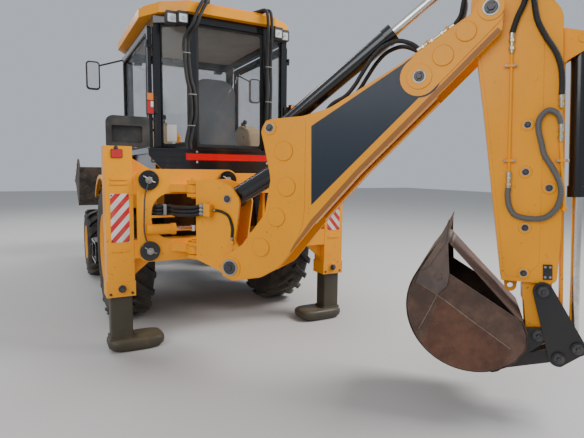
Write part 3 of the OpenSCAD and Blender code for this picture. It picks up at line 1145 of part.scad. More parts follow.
chassis();
rear_frame();
rear_axle();
front_axle();
driveline();
loader_towers();
tanks();
cab_base();
cab_frame();
cab_roof();
cab_glass();
cab_interior();
seat_cushion();
fenders();
lamps();
mirrors();
nose();
hood();
door_left();
door_right();
door_glass_left();
door_glass_right();
knuckle_left();
knuckle_right();
rim_front_left();
rim_front_right();
rim_rear_left();
rim_rear_right();
tyre_front_left();
tyre_front_right();
tyre_rear_left();
tyre_rear_right();
loader_arms();
lift_barrels();
lift_rods();
tilt_barrels();
tilt_rods();
loader_bucket();
leg_left();
leg_right();
carriage();
kingpost();
slew_rods();
boom();
boom_barrel();
boom_rod();
dipper_barrel();
dipper_rod();
dipper_outer();
dipper_inner();
bucket_barrel();
bucket_rod();
tip_lever();
bucket_link();
digging_bucket();
hoses_cab();
hoses_carriage();
hoses_kingpost();
hoses_boom();
hoses_dipper();
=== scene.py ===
"""Looks of a backhoe loader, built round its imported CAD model.

Each sub-assembly of the machine is a class: its sizes are dataclass fields, and its methods build the
pieces that the CAD leaves out and give the CAD nodes their finishes. Every new surface is worked out
with numpy on a grid of two parameters, or as a profile carried along a path. Places are given in
millimetres in the machine's own axes, as in the CAD, and become metres where they are placed.
"""

import logging
import math
from dataclasses import dataclass, field
from enum import Enum
from typing import Any, Callable, Sequence

import bmesh
import bpy
import numpy as np
from mathutils import Matrix, Vector


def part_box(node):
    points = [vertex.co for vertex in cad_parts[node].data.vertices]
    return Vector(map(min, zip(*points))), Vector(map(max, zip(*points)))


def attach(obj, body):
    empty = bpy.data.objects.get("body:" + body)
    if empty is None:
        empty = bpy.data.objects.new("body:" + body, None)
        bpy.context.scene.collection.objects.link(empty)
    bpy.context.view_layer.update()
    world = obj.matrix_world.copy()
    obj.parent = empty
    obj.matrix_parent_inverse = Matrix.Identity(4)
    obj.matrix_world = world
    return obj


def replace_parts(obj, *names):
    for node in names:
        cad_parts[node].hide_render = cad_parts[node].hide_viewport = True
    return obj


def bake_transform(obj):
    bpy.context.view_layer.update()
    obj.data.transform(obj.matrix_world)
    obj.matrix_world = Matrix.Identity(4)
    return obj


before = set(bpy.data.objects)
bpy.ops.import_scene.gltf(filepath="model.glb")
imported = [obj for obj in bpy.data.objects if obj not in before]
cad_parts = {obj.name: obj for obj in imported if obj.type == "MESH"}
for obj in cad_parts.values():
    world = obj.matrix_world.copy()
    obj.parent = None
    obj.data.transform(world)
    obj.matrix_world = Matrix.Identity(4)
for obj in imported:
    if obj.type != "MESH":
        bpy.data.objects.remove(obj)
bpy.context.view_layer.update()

Array = np.ndarray
Colour = tuple[float, float, float]
LOG = logging.getLogger("backhoe")
# A full turn in the shaders' sine waves, and the angle between faces from which an edge is sharp
TURN = 6.283
SHARP = math.radians(40)


def srgb(red: float, green: float, blue: float) -> Colour:
    """A colour as linear light: (v / 255) to the power 2.2.

    Args:
        red, green, blue: screen values from 0 to 255.
    Returns:
        The three shares of linear light.
    """
    return tuple(float((v / 255) ** 2.2) for v in (red, green, blue))


# Places


@dataclass(frozen=True)
class Axes:
    """A right-handed or left-handed set of axes that stands somewhere in the row frame."""

    origin: tuple[float, float, float]
    first: tuple[float, float, float]
    second: tuple[float, float, float]
    third: tuple[float, float, float]

    def place(self, points: Any) -> Array:
        """Origin plus each coordinate times its axis.

        Args:
            points: array whose last axis holds the three local coordinates, in millimetres.
        Returns:
            The same points in the row frame, in metres.
        """
        directions = np.array([self.first, self.second, self.third])
        return np.asarray(points, float) @ directions / 1000 + self.origin

    def at(self, a: float, b: float, c: float = 0.0) -> "Axes":
        """The same axes moved to a local point.

        Args:
            a, b, c: its local coordinates, in millimetres.
        Returns:
            The moved axes.
        """
        return Axes(tuple(self.place([a, b, c])), self.first, self.second, self.third)

    def turned(self, first: Sequence[float], second: Sequence[float], third: Sequence[float]) -> "Axes":
        """Axes at the same origin with other directions.

        Args:
            first, second, third: the new directions, given in these axes.
        Returns:
            The turned axes.
        """
        m = np.array([first, second, third], float) @ np.array([self.first, self.second, self.third])
        return Axes(self.origin, tuple(m[0]), tuple(m[1]), tuple(m[2]))

    def aimed(self, point: Sequence[float], direction: Sequence[float]) -> "Axes":
        """Axes at a local point whose third axis looks along a local direction.

        Args:
            point: where their origin is, in millimetres.
            direction: where the third axis looks; its length doesn't matter.
        Returns:
            The axes.
        """
        d = np.asarray(direction, float) / np.linalg.norm(direction)
        a = np.cross((0, 0, 1) if abs(d[2]) < 0.9 else (1, 0, 0), d)
        a /= np.linalg.norm(a)
        return self.at(*point).turned(a, np.cross(d, a), d)

    def both(self) -> tuple["Axes", "Axes"]:
        """The axes of a pair of pieces: with the third one turned round, then as they are."""
        return self.flipped(-1), self.flipped(1)

    def flipped(self, sign: int) -> "Axes":
        """The same axes, or those with the third one turned round.

        Args:
            sign: 1, or -1 to turn it.
        Returns:
            The axes.
        """
        return self.turned((1, 0, 0), (0, 1, 0), (0, 0, sign))


# How far the arm is turned to the right, where it turns, and the height of the roof's underside
SLEW = math.radians(40.3)
SLEW_AXIS = (-480.0, -1366.0)
ROOF = 2956.0
MACHINE = Axes((-0.154, -0.273, 0.0), (1, 0, 0), (0, 1, 0), (0, 0, 1))
# Forwards, up and to the right, for plates that lie along the machine
SIDE = MACHINE.turned((0, 1, 0), (0, 0, 1), (1, 0, 0))
# To the right, up and backwards, for plates that look back, and the same for plates that look ahead
REAR = MACHINE.turned((1, 0, 0), (0, 0, 1), (0, -1, 0))
AHEAD = REAR.flipped(-1)
# Outward from the slew axis, up, and across towards the photograph's side
SWING = Axes(
    (-0.634, -1.639, 0.0),
    (math.sin(SLEW), -math.cos(SLEW), 0),
    (0, 0, 1),
    (-math.cos(SLEW), -math.sin(SLEW), 0),
)
# The boom's foot pin in that plane, and the angle of the line from it to the dipper's pin
BOOM_FOOT = (433.0, 797.0)
BOOM_LEAN = 44.4


# Shader graphs


def math_node(operation: str, swap: bool = False) -> Callable[..., "Wire"]:
    """A method for wires that adds a Math node.

    Args:
        operation: the node's operation.
        swap: whether the wire itself is the last term.
    Returns:
        The method.
    """

    def method(wire: "Wire", *others: Any) -> "Wire":
        """Adds the node.

        Args:
            wire: the wire that it is called on.
            others: the further terms, numbers or wires.
        Returns:
            The result.
        """
        terms = (*others, wire) if swap else (wire, *others)
        return wire.graph.node("ShaderNodeMath", {"operation": operation}, dict(enumerate(terms)))

    return method


@dataclass(frozen=True)
class Wire:
    """An output socket of a shader graph; the signs of arithmetic add Math nodes."""

    graph: "Graph"
    socket: bpy.types.NodeSocket

    __add__ = __radd__ = math_node("ADD")
    __mul__ = __rmul__ = math_node("MULTIPLY")
    __sub__ = math_node("SUBTRACT")
    __rsub__ = math_node("SUBTRACT", swap=True)
    low = math_node("MINIMUM")
    high = math_node("MAXIMUM")
    size = math_node("ABSOLUTE")
    wave = math_node("SINE")

    def step(self, start: float, end: float) -> "Wire":
        """A smooth rise.

        Args:
            start: where it leaves 0.
            end: where it reaches 1.
        Returns:
            The share from 0 to 1.
        """
        return self.graph.node(
            "ShaderNodeMapRange",
            {"interpolation_type": "SMOOTHSTEP"},
            {"Value": self, "From Min": start, "From Max": end},
        )


class Graph:
    """The node graph of one material, which holds its Principled shader."""

    def __init__(self, name: str) -> None:
        """Makes the material with its shader and output.

        Args:
            name: the material's name.
        """
        self.material = bpy.data.materials.new(name)
        self.material.use_nodes = True
        self.tree = self.material.node_tree
        self.tree.nodes.clear()
        self.shader = self.tree.nodes.new("ShaderNodeBsdfPrincipled")
        self.end = self.tree.nodes.new("ShaderNodeOutputMaterial")
        self.tree.links.new(self.shader.outputs[0], self.end.inputs[0])
        self._point: Wire | None = None

    def node(
        self,
        kind: str,
        settings: dict[str, Any] | None = None,
        inputs: dict[Any, Any] | None = None,
        output: Any = 0,
    ) -> Wire:
        """Adds any node.

        Args:
            kind: the node's type name.
            settings: its properties, set first; "stops" are a colour ramp's stops.
            inputs: values or wires by socket name or number.
            output: name or number of the output wanted.
        Returns:
            The wire from that output.
        """
        made = self.tree.nodes.new(kind)
        for key, value in (settings or {}).items():
            if key == "stops":
                ramp = made.color_ramp
                while len(ramp.elements) < len(value):
                    ramp.elements.new(0.5)
                for element, (place, colour) in zip(ramp.elements, value):
                    element.position = place
                    element.color = (*colour, 1)
            else:
                setattr(made, key, value)
        for key, value in (inputs or {}).items():
            if isinstance(value, Wire):
                self.tree.links.new(value.socket, made.inputs[key])
            else:
                made.inputs[key].default_value = value
        return Wire(self, made.outputs[output])

    @property
    def point(self) -> Wire:
        """Object coordinates, which are the row frame's."""
        if self._point is None:
            self._point = self.node("ShaderNodeTexCoord", output="Object")
        return self._point

    def axis(self, name: str) -> Wire:
        """One of the Object coordinates.

        Args:
            name: its letter.
        Returns:
            The coordinate, in metres.
        """
        return self.node("ShaderNodeSeparateXYZ", {}, {0: self.point}, name)

    def along(self, axes: Axes, direction: int) -> Wire:
        """A coordinate in other axes: the point less their origin, times the direction.

        Args:
            axes: those axes.
            direction: which of their three directions.
        Returns:
            The coordinate, in metres.
        """
        vector = (axes.first, axes.second, axes.third)[direction]
        dot = self.node(
            "ShaderNodeVectorMath", {"operation": "DOT_PRODUCT"}, {0: self.point, 1: vector}, "Value"
        )
        return dot - float(np.dot(axes.origin, vector))

    def noise(
        self, scale: float, detail: float = 3.0, rough: float = 0.55, stretch: Colour = (1, 1, 1)
    ) -> Wire:
        """Noise on Object coordinates.

        Args:
            scale: how many of its cells lie in a metre.
            detail: how many finer layers it has.
            rough: share of each finer layer.
            stretch: what each coordinate is first multiplied by.
        Returns:
            Noise from 0 to 1.
        """
        where = self.point
        if stretch != (1, 1, 1):
            where = self.node("ShaderNodeMapping", {}, {0: where, "Scale": stretch})
        return self.node(
            "ShaderNodeTexNoise", {},
            {"Vector": where, "Scale": scale, "Detail": detail, "Roughness": rough},
        )

    def mix(self, amount: Any, first: Any, second: Any) -> Wire:
        """A colour between two.

        Args:
            amount: share of the second, from 0 to 1.
            first, second: colours or wires.
        Returns:
            The mixed colour.
        """
        first, second = ((*c, 1) if isinstance(c, tuple) else c for c in (first, second))
        return self.node("ShaderNodeMix", {"data_type": "RGBA"}, {0: amount, 6: first, 7: second}, 2)

    def facing_up(self) -> Wire:
        """How far the surface looks up, from 0 to 1, from its own normal."""
        normal = self.node("ShaderNodeNewGeometry", {}, {}, "Normal")
        return self.node("ShaderNodeSeparateXYZ", {}, {0: normal}, "Z").high(0.0)

    def edges(self, reach: float) -> Wire:
        """1 less the dot product of the true and the rounded normal, sharpened.

        Args:
            reach: how far from an edge the normal is rounded, in metres.
        Returns:
            1 near an edge and 0 away from it.
        """
        true = self.node("ShaderNodeNewGeometry", {}, {}, "True Normal")
        soft = self.node("ShaderNodeBevel", {"samples": 4}, {"Radius": reach})
        dot = self.node(
            "ShaderNodeVectorMath", {"operation": "DOT_PRODUCT"}, {0: true, 1: soft}, "Value"
        )
        return (1 - dot).step(0.02, 0.22)

    def set(self, **values: Any) -> None:
        """Puts values or wires into the shader's sockets.

        Args:
            values: what goes in, by the socket's name with _ for a space.
        """
        for key, value in values.items():
            socket = self.shader.inputs[key.replace("_", " ")]
            if isinstance(value, Wire):
                self.tree.links.new(value.socket, socket)
            else:
                colour = isinstance(value, tuple) and len(value) == 3
                socket.default_value = (*value, 1) if colour else value

    def bump(self, height: Wire, depth: float, round_edge: float = 0.0) -> None:
        """Raises the surface by height times depth.

        Args:
            height: share from 0 to 1.
            depth: rise at 1, in metres.
            round_edge: radius that the edges seem rounded by, in metres.
        """
        inputs: dict[Any, Any] = {"Height": height, "Distance": depth, "Strength": 1.0}
        if round_edge:
            inputs["Normal"] = self.node("ShaderNodeBevel", {"samples": 3}, {"Radius": round_edge})
        self.set(Normal=self.node("ShaderNodeBump", {}, inputs))


# Finishes


@dataclass(frozen=True)
class Finish:
    """A surface finish; its material is made once."""

    name: str

    def paint(self, graph: Graph) -> None:
        """Fills the graph; each kind of finish has its own.

        Args:
            graph: the material's graph.
        """
        raise NotImplementedError

    def material(self) -> bpy.types.Material:
        """The finish's material, made the first time that it is asked for."""
        found = bpy.data.materials.get(self.name)
        if found is None:
            graph = Graph(self.name)
            self.paint(graph)
            found = graph.material
        return found


@dataclass(frozen=True)
class Enamel(Finish):
    """Sprayed enamel with orange peel, faded patches, dust on ledges, grime in corners and worn edges."""

    colour: Colour
    dust: float = 0.35
    chips: float = 0.5
    shine: float = 0.36
    under: Colour = srgb(70, 52, 40)
    gloss: float = 0.12

    def paint(self, graph: Graph) -> None:
        """Mixes fading, dust and chips over the colour, and roughens where the dust lies.

        Args:
            graph: the material's graph.
        """
        patches = graph.noise(2.3, 4)
        speck = graph.noise(95, 3, 0.7)
        streaks = graph.noise(13, 3, 0.6, (1, 1, 0.12))
        edge = graph.edges(0.006)
        faded = graph.mix(
            patches.step(0.3, 0.75), self.colour, tuple(min(1.0, c * 1.1) for c in self.colour)
        )
        low = 1 - graph.axis("Z").step(0.05, 1.1)
        dust = (
            (graph.facing_up().step(0.3, 1) * 0.6 + low * 0.5) * patches.step(0.2, 0.8)
            + streaks.step(0.56, 0.8) * 0.35
        ) * self.dust
        spots = graph.noise(34, 3, 0.6).step(0.66, 0.7) * (
            1 - graph.axis("Z").step(0.9, 1.7) * 0.7
        ) * self.chips
        dusted = graph.mix(spots, graph.mix(dust, faded, srgb(150, 126, 92)), self.under)
        chips = edge * speck.step(0.53, 0.62) * self.chips
        graph.set(
            Base_Color=graph.mix(chips, dusted, self.under),
            Roughness=(self.shine + dust * 0.5 + chips * 0.3 + speck * 0.05).low(1.0),
            Coat_Weight=self.gloss,
            Coat_Roughness=0.15,
            Specular_IOR_Level=0.3,
        )
        graph.bump(graph.noise(160, 2) * 0.3 + speck * chips * 0.4, 0.0006, 0.004)


@dataclass(frozen=True)
class Metal(Finish):
    """Bare or plated metal with brushed lines and dull spots."""

    colour: Colour = (0.62, 0.6, 0.57)
    rough: float = 0.22
    dull: float = 0.3

    def paint(self, graph: Graph) -> None:
        """Varies tone and roughness with two noises.

        Args:
            graph: the material's graph.
        """
        spots, fine = graph.noise(18, 4), graph.noise(240, 2)
        worn = spots.step(0.45, 0.75) * self.dull
        graph.set(
            Base_Color=graph.mix(worn, self.colour, srgb(120, 106, 90)),
            Metallic=1 - worn * 0.5,
            Roughness=self.rough + worn * 0.4 + fine * 0.06,
        )
        graph.bump(fine, 0.0002)


@dataclass(frozen=True)
class Rust(Finish):
    """Bucket steel: brown scale, dark old paint in hollows, and pale scoured streaks where soil slides."""

    scour: float = 0.35
    deep: Colour = srgb(74, 56, 48)
    bright: Colour = srgb(128, 96, 76)

    def paint(self, graph: Graph) -> None:
        """Three noises at 30, 8 and 1 cm pick the tone; stretched noise makes the scours.

        Args:
            graph: the material's graph.
        """
        broad, mid, fine = graph.noise(3.2, 5, 0.6), graph.noise(14, 4, 0.65), graph.noise(110, 4, 0.7)
        streak = graph.noise(9, 5, 0.7, (0.6, 1.2, 0.6))
        tone = graph.mix((broad * 0.6 + mid * 0.4).step(0.36, 0.66), self.deep, self.bright)
        orange = graph.mix((mid * fine).step(0.3, 0.45) * 0.3, tone, srgb(140, 78, 46))
        scoured = streak.step(0.55, 0.8) * self.scour * 0.6 + graph.edges(0.007) * 0.35
        graph.set(
            Base_Color=graph.mix(scoured, orange, srgb(160, 146, 132)),
            Metallic=scoured * 0.6 + 0.08,
            Roughness=0.78 - scoured * 0.35 + fine * 0.1,
        )
        graph.bump(fine * 0.6 + mid * 0.8, 0.0022, 0.004)


@dataclass(frozen=True)
class Rubber(Finish):
    """Black tyre or hose rubber, with dust that gathers low and in the grooves."""

    dust: float = 0.4
    grain: float = 140.0
    colour: Colour = srgb(30, 30, 30)

    def paint(self, graph: Graph) -> None:
        """Mixes earth over black by height and noise.

        Args:
            graph: the material's graph.
        """
        patches, fine = graph.noise(6, 4, 0.65), graph.noise(self.grain, 3)
        low = 1 - graph.axis("Z").step(0.0, 0.5)
        dust = (patches.step(0.35, 0.75) * 0.7 + low * 0.6) * self.dust
        graph.set(
            Base_Color=graph.mix(dust, self.colour, srgb(112, 101, 86)), Roughness=0.62 + dust * 0.35
        )
        graph.bump(fine * 0.6 + patches * 0.6, 0.0012)


@dataclass(frozen=True)
class Plastic(Finish):
    """Moulded plastic or textured black paint with a fine leather grain."""

    colour: Colour
    rough: float = 0.5
    grain: float = 260.0
    depth: float = 0.0004

    def paint(self, graph: Graph) -> None:
        """A cell pattern makes the grain; broad noise varies the tone.

        Args:
            graph: the material's graph.
        """
        cells = graph.node(
            "ShaderNodeTexVoronoi", {}, {"Vector": graph.point, "Scale": self.grain}, "Distance"
        )
        tone = graph.noise(5, 3)
        graph.set(
            Base_Color=graph.mix(tone.step(0.3, 0.8) * 0.35, self.colour, srgb(118, 108, 94)),
            Roughness=self.rough + tone * 0.16,
        )
        graph.bump(cells, self.depth)


@dataclass(frozen=True)
class Glass(Finish):
    """Tinted safety glass with a film of dust in patches."""

    tint: Colour = (0.05, 0.065, 0.075)
    body: float = 0.12

    def paint(self, graph: Graph) -> None:
        """Dust raises alpha and roughness a little.

        Args:
            graph: the material's graph.
        """
        film = graph.noise(3.5, 4, 0.6).step(0.4, 0.85)
        graph.set(
            Base_Color=graph.mix(film * 0.5, self.tint, srgb(150, 146, 138)),
            Roughness=film * 0.12 + 0.03,
            Alpha=film * 0.1 + self.body,
            Coat_Weight=1.0,
            Coat_Roughness=0.02,
        )


@dataclass(frozen=True)
class Lens(Finish):
    """A lamp's ribbed lens over a bright bowl."""

    colour: Colour
    ribs: float = 90.0
    glow: float = 0.0

    def paint(self, graph: Graph) -> None:
        """Sine ribs along the height, and a tone that varies with fine noise.

        Args:
            graph: the material's graph.
        """
        lines = (graph.axis("Z") * self.ribs * TURN).wave()
        speck = graph.noise(60, 2)
        graph.set(
            Base_Color=graph.mix(speck * 0.3, self.colour, tuple(c * 0.5 for c in self.colour)),
            Roughness=speck * 0.1 + 0.1,
            Coat_Weight=1.0,
            Emission_Color=(*self.colour, 1),
            Emission_Strength=self.glow,
        )
        graph.bump(lines * 0.5 + speck * 0.1, 0.001)


@dataclass(frozen=True)
class Cloth(Finish):
    """Woven seat cloth: two crossed sine waves, with a soft pile."""

    colour: Colour
    threads: float = 420.0

    def paint(self, graph: Graph) -> None:
        """The product of sines along two axes is the weave.

        Args:
            graph: the material's graph.
        """
        across, up = (graph.axis("X") * self.threads).wave(), (graph.axis("Z") * self.threads).wave()
        fore = (graph.axis("Y") * self.threads).wave()
        weave = across * up + across * fore
        worn = graph.noise(7, 4)
        graph.set(
            Base_Color=graph.mix(
                worn.step(0.3, 0.8) * 0.5 + weave * 0.08, self.colour,
                tuple(c * 1.5 for c in self.colour),
            ),
            Roughness=0.9 - worn * 0.08, Sheen_Weight=0.3,
        )
        graph.bump(weave * 0.4 + worn * 0.5, 0.0012)


@dataclass(frozen=True)
class Striped(Finish):
    """Red and white slanted warning film: bands of u + v, where u runs outwards and v up."""

    pitch: float = 0.116
    lean: float = 1.14

    def paint(self, graph: Graph) -> None:
        """A sine of across * lean + up picks the colour; fine cells are the film's beads.

        Args:
            graph: the material's graph.
        """
        across = (graph.axis("X") - MACHINE.origin[0]).size()
        phase = (across * self.lean + graph.axis("Z")) * (TURN / self.pitch)
        band = phase.wave().step(-0.06, 0.06)
        dirt = graph.noise(9, 4).step(0.4, 0.8)
        beads = graph.node(
            "ShaderNodeTexVoronoi", {}, {"Vector": graph.point, "Scale": 300.0}, "Distance"
        )
        colour = graph.mix(band, srgb(212, 208, 204), srgb(196, 20, 24))
        graph.set(
            Base_Color=graph.mix(dirt * 0.4, colour, srgb(142, 120, 98)), Roughness=0.34 + dirt * 0.3,
            Coat_Weight=0.4,
        )
        graph.bump(beads, 0.0002)


class Coat(Enum):
    """The finishes that this machine wears."""

    YELLOW = Enamel("yellow_enamel", srgb(236, 152, 4), dust=0.3)
    YELLOW_ARM = Enamel("yellow_arm_enamel", srgb(238, 153, 4), dust=0.2, chips=0.5)
    # Brown enamel for painted shade: the strips along the boom's lower edges stand for its shaded
    # underside; its dust and chips are real dirt and wear.
    GRIMY_SHADE = Enamel("grimy_shade_enamel", srgb(150, 98, 52), dust=0.6, chips=0.9, shine=0.6)
    DARK = Enamel("dark_enamel", srgb(38, 39, 42), dust=0.5, chips=0.25, shine=0.42)
    BLACK = Enamel("black_enamel", srgb(27, 28, 31), dust=0.2, chips=0.25, shine=0.2, gloss=0.7)
    PANEL = Enamel("panel_film", srgb(36, 45, 56), dust=0.15, chips=0.0, shine=0.3)
    GREY = Enamel(
        "grey_enamel", srgb(58, 57, 50), dust=0.3, chips=0.9, shine=0.5, under=srgb(96, 62, 42)
    )
    LEVER = Enamel("lever_enamel", srgb(38, 40, 44), dust=0.2, chips=0.3, shine=0.35, gloss=0.2)
    RED = Enamel("red_enamel", srgb(196, 16, 24), dust=0.1, chips=0.0, shine=0.25)
    CHROME = Metal("chromed_rod", (0.72, 0.7, 0.68), 0.16, 0.3)
    STEEL = Metal("bolt_steel", (0.42, 0.4, 0.38), 0.38, 0.6)
    BOLT = Metal("dark_bolt", (0.09, 0.09, 0.095), 0.42, 0.35)
    SILVER = Metal("mirror_silver", (0.85, 0.86, 0.87), 0.03, 0.06)
    BRIGHT = Metal("bright_cap", (0.75, 0.75, 0.73), 0.3, 0.15)
    BRAID = Metal("braided_sleeve", (0.1, 0.1, 0.1), 0.5, 0.3)
    BRASS = Metal("plated_fitting", (0.6, 0.56, 0.42), 0.3, 0.35)
    RUST = Rust("bucket_rust", 0.25, srgb(76, 60, 52), srgb(106, 82, 70))
    RUST_RED = Rust("bucket_rust_red", 0.25, srgb(80, 56, 46), srgb(110, 76, 60))
    RUST_GREY = Rust("bucket_rust_grey", 0.3, srgb(84, 74, 70), srgb(110, 92, 84))
    WORN = Rust("worn_edge", 0.9, srgb(96, 84, 74), srgb(140, 122, 106))
    SHOVEL = Rust("shovel_scale", 0.5, srgb(52, 50, 48), srgb(96, 84, 74))
    TYRE = Rubber("tyre_rubber", 0.5)
    HOSE = Rubber("hose_rubber", 0.2, 600.0, srgb(26, 26, 28))
    SEAL = Rubber("window_seal", 0.15, 400.0, srgb(20, 20, 21))
    PLASTIC = Plastic("black_plastic", srgb(34, 34, 36))
    CONSOLE = Plastic("beige_console", srgb(190, 164, 126), 0.6)
    GUARD = Plastic("grey_spiral_guard", srgb(92, 92, 92), 0.5)
    GREY_PLASTIC = Plastic("grey_shell", srgb(112, 116, 120), 0.55)
    ROOF_LINING = Plastic("roof_lining", srgb(150, 146, 138), 0.8)
    GLASS = Glass("cab_glass")
    CLEAR = Lens("clear_lens", (0.8, 0.82, 0.84), 70.0)
    AMBER = Lens("amber_lens", srgb(240, 130, 20), 90.0)
    REDLENS = Lens("red_lens", srgb(200, 24, 20), 90.0)
    CLOTH = Cloth("seat_cloth", srgb(96, 98, 102))
    STRIPES = Striped("warning_stripes")
    WHITE = Plastic("blank_label", srgb(224, 222, 216), 0.5, 300.0, 0.0001)
    TIE = Plastic("grey_tie", srgb(150, 148, 144), 0.5, 300.0, 0.0002)


# Surfaces


def smooth_line(points: Any, count: int) -> Array:
    """A curve through given points, spaced evenly by its running length.

    On each span it is the cubic whose end slopes are half the step between the neighbours.

    Args:
        points: (n, 3) points that it passes.
        count: how many points to give back.
    Returns:
        (count, 3) points.
    """
    p = np.asarray(points, float)
    ends = np.vstack([2 * p[0] - p[1], p, 2 * p[-1] - p[-2]])
    t = np.linspace(0, len(p) - 1, 24 * (len(p) - 1) + 1)
    i = np.minimum(t.astype(int), len(p) - 2)
    s = (t - i)[:, None]
    a, b, c, d = ends[i], ends[i + 1], ends[i + 2], ends[i + 3]
    q = b + s * (c - a) / 2 + s**2 * (a - 2.5 * b + 2 * c - d / 2) + s**3 * (1.5 * (b - c) + (d - a) / 2)
    run = np.concatenate([[0], np.cumsum(np.linalg.norm(np.diff(q, axis=0), axis=1))])
    at = np.linspace(0, run[-1], count)
    return np.stack([np.interp(at, run, q[:, k]) for k in range(3)], 1)


def tube(path: Array, radius: Any, sides: int = 12) -> Array:
    """A circle carried along a path: centre + r (cos v n + sin v b).

    Both n and b are across the path. n is also across that one of 200 directions on a ball which comes
    least near to the path's own, so that the circle doesn't twist.

    Args:
        path: (rows, 3) centreline.
        radius: one radius, or one for each row.
        sides: points round.
    Returns:
        (rows, sides, 3) grid.
    """
    tangent = np.gradient(path, axis=0)
    tangent /= np.linalg.norm(tangent, axis=1)[:, None]
    turn, up = np.arange(200) * 2.39996, np.linspace(0, 1, 200)
    spread = np.stack([np.cos(turn) * np.sqrt(1 - up**2), np.sin(turn) * np.sqrt(1 - up**2), up], 1)
    flat = spread[np.argmin(np.abs(spread @ tangent.T).max(1))]
    n = np.cross(tangent, flat)
    n /= np.linalg.norm(n, axis=1)[:, None]
    b = np.cross(tangent, n)
    v = np.linspace(0, 2 * math.pi, sides, endpoint=False)
    r = np.broadcast_to(np.asarray(radius, float), len(path))[:, None, None]
    return path[:, None] + r * (np.cos(v)[:, None] * n[:, None] + np.sin(v)[:, None] * b[:, None])


def turned(profile: Any, axes: Axes, sides: int = 32) -> Array:
    """A profile turned round the axes' third axis: (r cos v, r sin v, h).

    Args:
        profile: (n, 2) radii and heights.
        axes: what it is turned in.
        sides: points round.
    Returns:
        (n, sides, 3) grid in the row frame.
    """
    p = np.asarray(profile, float)
    v = np.linspace(0, 2 * math.pi, sides, endpoint=False)
    ring = np.stack(
        [np.outer(p[:, 0], np.cos(v)), np.outer(p[:, 0], np.sin(v)), np.repeat(p[:, 1:], sides, 1)], 2
    )
    return axes.place(ring)


def box_corners(a: float, b: float, c: float, d: float) -> Array:
    """A rectangle's corners in order.

    Args:
        a, b: its two edges across.
        c, d: its two edges up.
    Returns:
        (4, 2) points.
    """
    (a, b), (c, d) = sorted((a, b)), sorted((c, d))
    return np.array([[a, c], [b, c], [b, d], [a, d]], float)


def rounded_box(a: float, b: float, c: float, d: float, radii: Any, steps: int = 6) -> Array:
    """The rectangle between a and b across and c and d up, with round corners.

    Args:
        a, b: its two edges across.
        c, d: its two edges up.
        radii: one radius, or one for each corner.
        steps: points on each arc.
    Returns:
        (4 * steps, 2) points.
    """
    return rounded_outline(box_corners(a, b, c, d), radii, steps)


def boom_point(along: float, above: float) -> Array:
    """A point by the boom's pin line.

    Args:
        along, above: its place from the boom's foot.
    Returns:
        The point in the arm's plane.
    """
    return turned_point(BOOM_FOOT, BOOM_LEAN, along, above)


def turned_point(start: Sequence[float], lean: float, along: float, above: float) -> Array:
    """Start plus along times (cos lean, sin lean) plus above times (-sin lean, cos lean).

    Args:
        start: the line's first point.
        lean: the line's angle in degrees.
        along, above: the place by the line.
    Returns:
        The point.
    """
    c, s = math.cos(math.radians(lean)), math.sin(math.radians(lean))
    return np.array([start[0] + along * c - above * s, start[1] + along * s + above * c])


def rounded_outline(corners: Any, radii: Any, steps: int = 6) -> Array:
    """An outline with round corners: an arc's centre is on the corner's bisector, at r / sin(half).

    Args:
        corners: (n, 2) corner points in order.
        radii: one radius, or one for each corner.
        steps: points on each arc.
    Returns:
        (n * steps, 2) points.
    """
    c = np.asarray(corners, float)
    r = np.broadcast_to(np.asarray(radii, float), len(c))[:, None]
    u, v = np.roll(c, 1, 0) - c, np.roll(c, -1, 0) - c
    u /= np.linalg.norm(u, axis=1)[:, None]
    v /= np.linalg.norm(v, axis=1)[:, None]
    half = np.arccos(np.clip((u * v).sum(1), -1, 1))[:, None] / 2
    centre = c + (u + v) / np.linalg.norm(u + v, axis=1)[:, None] * r / np.sin(half)
    p, q = c + u * r / np.tan(half) - centre, c + v * r / np.tan(half) - centre
    turn = np.arctan2(p[:, 0] * q[:, 1] - p[:, 1] * q[:, 0], (p * q).sum(1))[:, None]
    a = np.linspace(0, 1, steps)[None] * turn
    x = p[:, :1] * np.cos(a) - p[:, 1:] * np.sin(a)
    y = p[:, :1] * np.sin(a) + p[:, 1:] * np.cos(a)
    return (centre[:, None] + np.stack([x, y], 2)).reshape(-1, 2)


@dataclass(frozen=True)
class Bend:
    """A joint that a run crosses, from its own body at the start to this body at the end; it is only
    stored, and nothing is bent.
    """

    body: str
    start: tuple[float, float, float]
    end: tuple[float, float, float]


